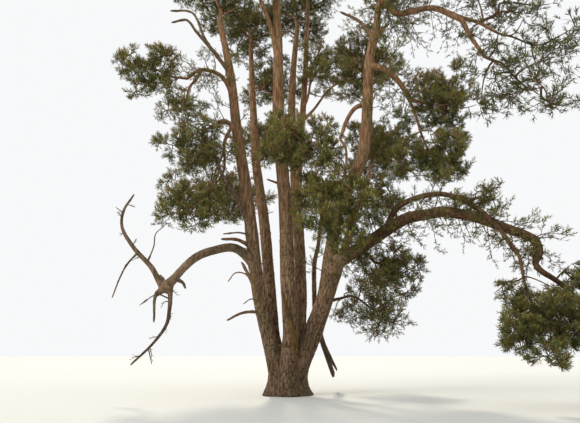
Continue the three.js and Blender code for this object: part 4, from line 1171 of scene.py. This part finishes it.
def grow_mass(name, turn, sizes):
    """One mass of foliage, grown on from its limb by the rule of the source and carried further: its stem,
    the fronds' boughs to the source's own tips, and twigs to more tips within the same space, leafed out.
    A small mass has smaller sprays than a large one."""
    region, on, where, via, centre, reach, fronds, fill = MASSES[name]
    part = PARTS[region]
    rng = np.random.default_rng(seed_of("masses", turn))
    centre, reach = np.array(centre, float), np.array(reach, float)
    size = reach.mean()
    course, thick = mass_course(on, where, via, centre, reach)
    shares = np.linspace(0, 1, STEM_PLACES)
    places, runs = swaying(course, shares, size, turn), shares * course.length
    inside = np.linalg.norm((places - centre) / reach, axis=1) < STEM_WITHIN
    points, runs = places[inside], runs[inside]

    first_tips = spiral_tips(fronds, centre, reach, turn, FROND_DEPTHS)
    roots, points, runs = grow_twigs(points, runs, first_tips, FROND_FORKS)
    bow = bows((fronds, 3), FROND_BOW, rng) * size
    ends = roots + FROND_RUN * (first_tips - roots)
    boughs = bent_lines(roots, ends, bow, np.linspace(0, 1, PLACES["frond"]))
    for line in boughs:
        points = np.vstack([points, line[2:]])
        runs = np.concatenate([runs, np.full(len(line) - 2, runs.mean())])

    scale = part.scale * (size / MIDDLE_REACH) ** SPRAY_GROWTH
    count = int(sizes.twigs_per_mass * fill ** 0.5 * size / MIDDLE_REACH)
    space = Lobes(centre, first_tips, size, rng)
    depths = rng.uniform(*TWIG_DEPTHS) ** DEPTH_POWER
    tips = [spiral_tips(count // len(space.middles), middle, span, turn + k, depths)
            for k, (middle, span) in enumerate(zip(space.middles, space.spans))]
    tips = np.vstack([centre + FIRST_TWIGS * (first_tips - centre), *tips])
    tips = tips[space.fits(tips, FARTHEST["twig"])]
    roots, _, _ = grow_twigs(points, runs, tips, TWIG_FORKS)
    bow = bows(tips.shape, TWIG_BOW, rng) * length_of(tips - roots)
    per = max(2, round(sizes.sprays_per_twiglet * fill))
    wood, (feet, ways, lengths, ends) = leaf_out(roots, tips, bow, TWIGLET_REACH * size, per, scale,
                                                 space.fits, sizes, rng)
    out = space.depth_of(ends)
    above = (ends[:, 2] - centre[2]) / reach[2]
    light = LIGHT_OUT * out + LIGHT_UP * ways[:, 2] + LIGHT_HIGH * above + LIGHT_EVERYWHERE
    tone = toned(light + LIGHT_SHIFT * ripple(ends, LIGHT_WAVE), part, rng)
    bears = (rng.random(len(ends)) < part.candles) & (out > CANDLE_DEPTH)
    candles = [candles_at(feet[bears] + lengths[bears, None] * ways[bears], scale, rng)]
    stem = swaying(course, np.linspace(0, 1, PLACES["stem"]), size, turn)[None]
    first, last = BOUGH_RADII
    tubes = [line_tubes(stem, thick, STEM_TAPER * thick, 12), line_tubes(boughs, first * size, last, 6)]
    return Growth(tubes, wood, candles, (feet, ways, lengths, tone), scale, rng)


def grow_strays(row, turn, sizes):
    """Fine twigs along one bough, where the photograph shows some outside the masses: they start at even
    shares of the stretch, turn round the bough by the golden angle, and hang. The living ones are leafed
    out thinly, and the dead ones are bare."""
    name, region, first, last, count, length, per = row
    rng = np.random.default_rng(seed_of("strays", turn))
    limb = LIMBS_LAID[name]
    shares = np.linspace(first, last, count)
    tangents, normals, across = limb.course.frames(shares)
    angle = (np.arange(count) * GOLDEN_TURN + turn)[:, None]
    out = np.cos(angle) * normals + np.sin(angle) * across
    roots = limb.course.at(shares)
    ways = unit(STRAY_AHEAD * tangents + out + np.array([0, 0, STRAY_DOWN]))
    spans = length * rng.uniform(*STRAY_LENGTHS, (count, 1))
    bow = bows(roots.shape, STRAY_BOW, rng) * spans
    wood, sprays = leaf_out(roots, roots + ways * spans, bow, STRAY_TWIGLET_REACH * length, per,
                            STRAY_SCALE, lambda places, most: in_box(places), sizes, rng)
    if sprays is not None:
        feet, ways, lengths, _ = sprays
        tone = toned(LIGHT_ON_STRAYS + LIGHT_UP * ways[:, 2], PARTS[region], rng)
        sprays = (feet, ways, lengths, tone)
    return Growth([], wood, [], sprays, STRAY_SCALE, rng)


def needles_by_tone(grown, sizes):
    """The needles of all that has grown, as a list of meshes for each tone."""
    leaves = {tone: [] for tone in TONES}
    for growth in grown:
        if growth.sprays is None:
            continue
        *sprays, tone = growth.sprays
        for k, word in enumerate(TONES):
            mine = tone == k
            if mine.any():
                picked = [values[mine] for values in sprays]
                leaves[word].append(needles_on(*picked, growth.scale, sizes, growth.rng))
    return leaves


def make_foliage(sizes, colours):
    """The foliage by part of the crown: a piece of boughs, a piece of twigs, and a piece of needles for
    each tone. Every piece stands for the masses of its part."""
    twigs, needles = twig_bark(colours), needle_materials(colours)
    for region, part in PARTS.items():
        names = [name for name, row in MASSES.items() if row[0] == region]
        grown = [grow_mass(name, list(MASSES).index(name), sizes) for name in names]
        grown += [grow_strays(row, k, sizes) for k, row in enumerate(STRAYS) if row[1] == region]
        kinds = {kind: [mesh for growth in grown for mesh in getattr(growth, kind)]
                 for kind in ("boughs", "twigs", "candles")}
        leaves = needles_by_tone(grown, sizes)
        wood, slot = ("mossy", "old_bark") if part.shaded else ("young", "young_bark")
        pieces = [("boughs", kinds["boughs"], bark_of(wood, colours), slot),
                  ("twigs", kinds["twigs"], twigs, "young_bark"),
                  *((f"needles_{tone}", leaves[tone], needles[tone], "needles") for tone in TONES),
                  ("candles", kinds["candles"], needles[part.candle_tone], "needles")]
        for word, meshes, material, slot in pieces:
            vertices, faces, _ = joined(meshes)
            marks = np.tile(BOUGH_MARKS[part.shaded], (len(vertices), 1)) if word == "boughs" else None
            piece = new_mesh(f"{region}_{word}", vertices, faces, slot != "needles", marks)
            finish_piece(piece, material, slot, names)


def node(tree, kind, settings=(), inputs=()):
    """One node of a material: its settings, then a value or a link for each input, by name or place."""
    made = tree.nodes.new("ShaderNode" + kind)
    for key, value in dict(settings).items():
        setattr(made, key, value)
    for key, value in dict(inputs).items():
        socket = made.inputs[key]
        if isinstance(value, bpy.types.NodeSocket):
            tree.links.new(value, socket)
        else:
            socket.default_value = value
    return made


def new_material(name):
    """An empty node material and its tree."""
    material = bpy.data.materials.new(name)
    material.use_nodes = True
    material.node_tree.nodes.clear()
    return material, material.node_tree


def rgba(colour):
    """A colour with the fourth channel that a node asks for."""
    return (*colour, 1.0)


# Settings of nodes that several materials use: a smooth step between two values, and a mix of two colours.
SMOOTH = {"interpolation_type": "SMOOTHSTEP"}
OF_COLOURS = {"data_type": "RGBA"}

# Sizes of patterns on bark, in metres: blotches, which run up a limb seven times as far, and slow patches.
BLOTCH = 0.055
PATCH = 0.7
RUN_UP = (1.0, 1.0, 0.14)

# The same on twigs: the shift from greyer to warmer ones, and their grit.
TWIG_SHIFT = 0.5
TWIG_GRIT = 0.02


def bark_material(name, crack, plate, young, patch, patch_share, grit, moss):
    """Bark or bare wood that reads its piece's marks: the first channel is 0 in a crack and 1 on a plate's
    face, the second is 0 on old bark and 1 on young, and the third is a fine grain along the limb. Upright
    blotches darken and dent it, the grain streaks it, and a painted shade darkens it near the ground. Slow
    patches of another colour cover it by patch_share, only on its upper side where they are moss. grit is
    the size of its fine bumps in metres."""
    material, tree = new_material(name)
    place = node(tree, "TexCoord").outputs["Object"]
    height = node(tree, "SeparateXYZ", (), {"Vector": place}).outputs["Z"]
    upright = node(tree, "Mapping", (), {"Vector": place, "Scale": RUN_UP}).outputs[0]
    marks = node(tree, "Attribute", {"attribute_name": "bark"}).outputs["Color"]
    face, youth, grain = node(tree, "SeparateColor", (), {"Color": marks}).outputs
    blotch = node(tree, "TexNoise", (), {"Vector": upright, "Scale": 1 / BLOTCH, "Detail": 4.0}).outputs[0]
    slow = node(tree, "TexNoise", (), {"Vector": place, "Scale": 1 / PATCH, "Detail": 3.0}).outputs[0]
    fine = node(tree, "TexNoise", (), {"Vector": place, "Scale": 1 / grit, "Detail": 5.0}).outputs[0]
    # On the mossy bark, plate is a darker copy in painted shade and young the lit plate, so low youth
    # paints shade.
    worn_and_shaded = node(tree, "Mix", OF_COLOURS, {0: youth, 6: rgba(plate), 7: rgba(young)}).outputs[2]
    dull = node(tree, "HueSaturation", (), {"Color": worn_and_shaded, "Saturation": 1.1, "Value": 0.42}).outputs[0]
    mottle = node(tree, "MapRange", SMOOTH,
                  {"Value": blotch, "From Min": 0.35, "From Max": 0.66}).outputs[0]
    mixed = node(tree, "Mix", OF_COLOURS, {0: mottle, 6: dull, 7: worn_and_shaded}).outputs[2]
    spread = node(tree, "MapRange", SMOOTH,
                  {"Value": slow, "From Min": 0.46, "From Max": 0.64, "To Max": patch_share}).outputs[0]
    if moss:
        facing = node(tree, "NewGeometry").outputs["Normal"]
        top = node(tree, "SeparateXYZ", (), {"Vector": facing}).outputs["Z"]
        lies = node(tree, "MapRange", (), {"Value": top, "From Min": -0.2, "From Max": 0.5}).outputs[0]
        spread = node(tree, "Math", {"operation": "MULTIPLY"}, {0: spread, 1: lies}).outputs[0]
    mixed = node(tree, "Mix", OF_COLOURS, {0: spread, 6: mixed, 7: rgba(patch)}).outputs[2]
    streak = node(tree, "MapRange", (), {"Value": grain, "To Min": 0.68, "To Max": 1.2}).outputs[0]
    mixed = node(tree, "HueSaturation", (), {"Color": mixed, "Value": streak}).outputs[0]
    edge = node(tree, "MapRange", SMOOTH, {"Value": face, "From Min": -0.1, "From Max": 0.95}).outputs[0]
    mixed = node(tree, "Mix", OF_COLOURS, {0: edge, 6: rgba(crack), 7: mixed}).outputs[2]
    # Painted shade near the ground: the colour's value is halved at the ground and comes back to full at 4
    # m.
    ground_shade = node(tree, "MapRange", SMOOTH, {"Value": height, "From Min": 0.0, "From Max": 4.0,
                                           "To Min": 0.5, "To Max": 1.0}).outputs[0]
    mixed = node(tree, "HueSaturation", (), {"Color": mixed, "Value": ground_shade}).outputs[0]
    rough = node(tree, "MapRange", (), {"Value": fine, "To Min": 0.97, "To Max": 0.7}).outputs[0]
    rise = node(tree, "Math", {"operation": "ADD"}, {0: fine, 1: blotch}).outputs[0]
    bump = node(tree, "Bump", (), {"Height": rise, "Strength": 0.7, "Distance": 0.012}).outputs[0]
    shader = node(tree, "BsdfPrincipled", (), {"Base Color": mixed, "Roughness": rough, "Normal": bump,
                                               "IOR": 1.45, "Specular IOR Level": 0.25})
    node(tree, "OutputMaterial", (), {"Surface": shader.outputs[0]})
    return material


# Each bark or wood: its material's name, the colours of its cracks, plates, young bark and patches, how far
# the patches cover it, the size of its fine bumps in metres, and whether its patches are moss.
BARKS = {
    # Plated bark: thick rough slabs, pink-brown on their faces and nearly black between them, that turn to
    # orange papery bark up the stem. Pale green-ochre algae lie on it in slow patches.
    "old": ("old pine bark, plated", "crack", "plate", "young_bark", "algae", 0.38, 0.018, False),
    # The same plated bark on the long arch, with painted shade: its plates darken to a shaded copy away
    # from the stem. Moss lies along its upper side.
    "mossy": ("old pine bark, mossy on top, painted shade", "crack", "plate_shaded", "plate", "moss", 0.85, 0.018, True),
    # Young bark: thin orange-tan flakes that catch the light at their edges, over a darker layer.
    "young": ("young pine bark, flaking", "young_crack", "young_bark", "young_bark", "plate",
              0.5, 0.012, False),
    # Weathered wood: bark long gone, dull grey-brown, with fine cracks along the grain.
    "dead": ("dead pine wood, weathered", "dead_crack", "dead_wood", "dead_wood", "plate",
             0.45, 0.01, False),
    # Torn wood: the ochre inside of a strip that split off a living stem, stringy and stained.
    "torn": ("torn pine wood, stained", "dead_crack", "torn_wood", "torn_wood", "crack",
             0.8, 0.01, False),
}


def bark_of(kind, colours):
    """A bark or wood by its kind, made the first time that it is asked for."""
    name, *layers, share, grit, moss = BARKS[kind]
    made = bpy.data.materials.get(name)
    return made or bark_material(name, *(getattr(colours, layer) for layer in layers), share, grit, moss)


def twig_bark(colours):
    # Twig bark: matt and grey-brown, with a slow shift between greyer and warmer twigs. Its grit is coarser
    # than the real one, which would be too fine to show.
    material, tree = new_material("pine twig bark, matt")
    place = node(tree, "TexCoord").outputs["Object"]
    slow = node(tree, "TexNoise", (), {"Vector": place, "Scale": 1 / TWIG_SHIFT, "Detail": 2.0}).outputs[0]
    fine = node(tree, "TexNoise", (), {"Vector": place, "Scale": 1 / TWIG_GRIT, "Detail": 3.0}).outputs[0]
    mixed = node(tree, "Mix", OF_COLOURS,
                 {0: slow, 6: rgba(colours.twig), 7: rgba(colours.twig_warm)}).outputs[2]
    rough = node(tree, "MapRange", (), {"Value": fine, "To Min": 0.95, "To Max": 0.75}).outputs[0]
    bump = node(tree, "Bump", (), {"Height": fine, "Strength": 0.3, "Distance": 0.003}).outputs[0]
    shader = node(tree, "BsdfPrincipled", (), {"Base Color": mixed, "Roughness": rough, "Normal": bump,
                                               "Specular IOR Level": 0.2})
    node(tree, "OutputMaterial", (), {"Surface": shader.outputs[0]})
    return material


def needle_materials(colours):
    # Pine needles: a waxy skin with a soft sheen that is broad, so that a spray glints as a whole. One
    # plain colour for each tone, dealt out by spray, with painted light and shade: deep in the shade, olive
    # in the light, straw on the old sprays that are about to drop and, as a painted highlight, on those in
    # full light, and pale on the candles, this year's shoots.
    made = {}
    for tone in (*TONES, "candle"):
        material, tree = new_material(f"pine needles, {tone}")
        shader = node(tree, "BsdfPrincipled", (), {
            "Base Color": rgba(getattr(colours, "needles_" + tone)), "Roughness": 0.6, "IOR": 1.4,
            "Specular IOR Level": 0.2, "Sheen Weight": 0.05, "Sheen Roughness": 0.6})
        node(tree, "OutputMaterial", (), {"Surface": shader.outputs[0]})
        made[tone] = material
    return made


def make_stage(sizes, colours):
    """A plain pale floor, a pale even sky, a soft sun from behind on the left, a broad soft light from the
    left in front, and the camera at the photograph's angle."""
    scene = bpy.context.scene
    scene.view_settings.view_transform = "Standard"
    rim = np.linspace(0, 2 * np.pi, FLOOR_SIDES, endpoint=False)
    disc = np.column_stack([np.cos(rim), np.sin(rim), 0 * rim]) * sizes.floor_radius
    disc[:, 2] = FLOOR_HEIGHT
    floor = new_mesh("floor", disc, [np.arange(FLOOR_SIDES)[None]])
    material, tree = new_material("floor, matt plaster")
    shader = node(tree, "BsdfPrincipled", (), {"Base Color": rgba(colours.floor), "Roughness": 0.9})
    node(tree, "OutputMaterial", (), {"Surface": shader.outputs[0]})
    floor.data.materials.append(material)

    world = bpy.data.worlds.new("pale sky")
    world.use_nodes = True
    background = world.node_tree.nodes["Background"]
    background.inputs["Color"].default_value = rgba(colours.sky)
    background.inputs["Strength"].default_value = SKY_STRENGTH
    scene.world = world

    for name, (strength, width, tilt, turn, colour) in LIGHTS.items():
        light = bpy.data.lights.new(name, "SUN")
        light.energy, light.angle, light.color = strength, width, colour
        lamp = bpy.data.objects.new(name, light)
        lamp.rotation_euler = (math.radians(tilt), 0.0, math.radians(turn))
        scene.collection.objects.link(lamp)

    lens = bpy.data.cameras.new("photograph")
    lens.lens, lens.sensor_width = CAMERA_LENS, CAMERA_SENSOR
    camera = bpy.data.objects.new("photograph", lens)
    camera.location = CAMERA_PLACE
    camera.rotation_euler = (math.radians(90 + CAMERA_TILT), 0.0, 0.0)
    scene.collection.objects.link(camera)
    scene.camera = camera


def metres(name, description, default, low, high):
    """A length in metres that a user may change."""
    return bpy.props.FloatProperty(name=name, description=description, default=default,
                                   min=low, max=high, unit="LENGTH")


def number(name, description, default, low, high):
    """A number of like things that a user may change."""
    return bpy.props.IntProperty(name=name, description=description, default=default, min=low, max=high)


def shade(name, description, value):
    """A colour that a user may change, from its sRGB hex value."""
    return bpy.props.FloatVectorProperty(name=name, description=description, default=linear(value),
                                         size=3, min=0.0, max=1.0, subtype="COLOR")


class PineSizes(bpy.types.PropertyGroup):
    """Sizes of the bark, the twigs and the needles."""

    fissure_depth: metres("Fissure depth", "How deep the cracks between the plates of old bark are",
                          0.017, 0.0, 0.06)
    flake_depth: metres("Flake depth", "How thick the flakes of young bark are", 0.006, 0.0, 0.02)
    plate_width: metres("Plate width", "Width of a plate of old bark round the stem", 0.065, 0.03, 0.4)
    plate_height: metres("Plate height", "Height of a plate of old bark", 0.24, 0.05, 1.0)
    needle_length: metres("Needle length", "Length of a needle, larger than life so that fewer will do",
                          0.11, 0.03, 0.3)
    needle_width: metres("Needle width", "Width of a needle at its foot, larger than life",
                         0.017, 0.001, 0.03)
    spray_length: metres("Spray length", "Length of the shoot that bears one spray of needles",
                         0.11, 0.03, 0.6)
    floor_radius: metres("Floor radius", "Radius of the floor", 400.0, 10.0, 1000.0)
    pairs_per_spray: number("Pairs in a spray", "How many pairs of needles one spray bears", 6, 3, 40)
    sprays_per_twiglet: number("Sprays on a twiglet", "How many sprays grow along one twiglet", 6, 2, 12)
    twiglets_per_twig: number("Twiglets on a twig", "How many twiglets grow along one twig", 6, 1, 12)
    twigs_per_mass: number("Twigs in a mass", "How many twigs fill a mass of foliage of middle size",
                           64, 8, 200)


class PineColours(bpy.types.PropertyGroup):
    """Colours of the bark, the needles and the stage."""

    plate: shade("Plate", "Face of a plate of old bark", "a08266")
    # Painted shade: a darker copy of the plate for the long arch and the shaded boughs.
    plate_shaded: shade("Shaded plate", "Face of a plate on the long arch", "60462f")
    moss: shade("Moss", "Moss on the upper side of the long arch", "5d5c2d")
    crack: shade("Crack", "Bottom of a crack in old bark", "3c2d21")
    young_bark: shade("Young bark", "Papery bark of the upper stems and young boughs", "9d7758")
    young_crack: shade("Young crack", "Under the flakes of young bark", "634733")
    algae: shade("Algae", "Pale patches of algae on old bark", "78704b")
    dead_wood: shade("Dead wood", "Weathered bare wood", "7d6b54")
    dead_crack: shade("Dead crack", "Cracks in the bare wood", "43372a")
    torn_wood: shade("Torn wood", "Inside of the torn strip", "94733f")
    twig: shade("Twig", "Greyer twigs", "4c3c2a")
    twig_warm: shade("Warm twig", "Warmer twigs", "6c4e35")
    # The needles' tones paint light and shade by the light each spray is given: deep for shade, then green,
    # grey and olive, and straw for full light as well as for old needles.
    needles_deep: shade("Deep needles", "Needles in the shade of a mass", "484b1e")
    needles_green: shade("Green needles", "Most needles", "63672f")
    needles_grey: shade("Grey needles", "Needles that show their pale lines", "6c7648")
    needles_olive: shade("Olive needles", "Needles at the outside, in the light", "8a853b")
    needles_straw: shade("Straw needles", "Old needles that are about to drop", "8a7241")
    needles_candle: shade("Candles", "This year's shoots, that stand up before they open", "a3a263")
    floor: shade("Floor", "Plain pale floor", "c9cac6")
    sky: shade("Sky", "Even pale light all round", "fbfcfd")


def run_step(make, context):
    """Makes a step's pieces from the scene's settings. If it can't, its error reaches the script."""
    make(context.scene.pine_sizes, context.scene.pine_colours)
    return {"FINISHED"}


class PINE_OT_bole(bpy.types.Operator):
    """Make the bole's bark round the feet of the stems"""

    bl_idname = "pine.bole"
    bl_label = "Bole"
    bl_options = {"REGISTER", "UNDO"}

    def execute(self, context):
        return run_step(make_bole, context)


class PINE_OT_stems(bpy.types.Operator):
    """Make the bark of the stems, from plated to papery"""

    bl_idname = "pine.stems"
    bl_label = "Stems"
    bl_options = {"REGISTER", "UNDO"}

    def execute(self, context):
        return run_step(make_stems, context)


class PINE_OT_boughs(bpy.types.Operator):
    """Make the bark of the living boughs"""

    bl_idname = "pine.boughs"
    bl_label = "Living boughs"
    bl_options = {"REGISTER", "UNDO"}

    def execute(self, context):
        return run_step(make_boughs, context)


class PINE_OT_dead_limbs(bpy.types.Operator):
    """Make the weathered wood of the dead limbs"""

    bl_idname = "pine.dead_limbs"
    bl_label = "Dead limbs"
    bl_options = {"REGISTER", "UNDO"}

    def execute(self, context):
        return run_step(make_dead_limbs, context)


class PINE_OT_foliage(bpy.types.Operator):
    """Grow the twigs and needles of every mass of foliage"""

    bl_idname = "pine.foliage"
    bl_label = "Foliage"
    bl_options = {"REGISTER", "UNDO"}

    def execute(self, context):
        return run_step(make_foliage, context)


class PINE_OT_stage(bpy.types.Operator):
    """Make the floor, the lights and the camera"""

    bl_idname = "pine.stage"
    bl_label = "Stage"
    bl_options = {"REGISTER", "UNDO"}

    def execute(self, context):
        return run_step(make_stage, context)


OPERATORS = (PINE_OT_stage, PINE_OT_bole, PINE_OT_stems, PINE_OT_boughs, PINE_OT_dead_limbs,
             PINE_OT_foliage)


class PINE_PT_panel(bpy.types.Panel):
    """The settings and the steps, in the 3D view's sidebar"""

    bl_idname = "PINE_PT_panel"
    bl_label = "Scots pine"
    bl_space_type = "VIEW_3D"
    bl_region_type = "UI"
    bl_category = "Pine"

    def draw(self, context):
        for group in (context.scene.pine_sizes, context.scene.pine_colours):
            column = self.layout.column(align=True)
            for key in group.bl_rna.properties.keys():
                if key not in ("name", "rna_type"):
                    column.prop(group, key)
        for step in OPERATORS:
            self.layout.operator(step.bl_idname)


CLASSES = (PineSizes, PineColours, *OPERATORS, PINE_PT_panel)


def register():
    """Registers the classes, and puts both groups of settings on the scene."""
    for cls in CLASSES:
        bpy.utils.register_class(cls)
    bpy.types.Scene.pine_sizes = bpy.props.PointerProperty(type=PineSizes)
    bpy.types.Scene.pine_colours = bpy.props.PointerProperty(type=PineColours)


def unregister():
    """Takes the settings and the classes away again."""
    del bpy.types.Scene.pine_colours
    del bpy.types.Scene.pine_sizes
    for cls in reversed(CLASSES):
        bpy.utils.unregister_class(cls)


def main():
    """Registers the add-on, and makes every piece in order."""
    register()
    bpy.ops.pine.stage()
    bpy.ops.pine.bole()
    bpy.ops.pine.stems()
    bpy.ops.pine.boughs()
    bpy.ops.pine.dead_limbs()
    bpy.ops.pine.foliage()


if __name__ == "__main__":
    main()
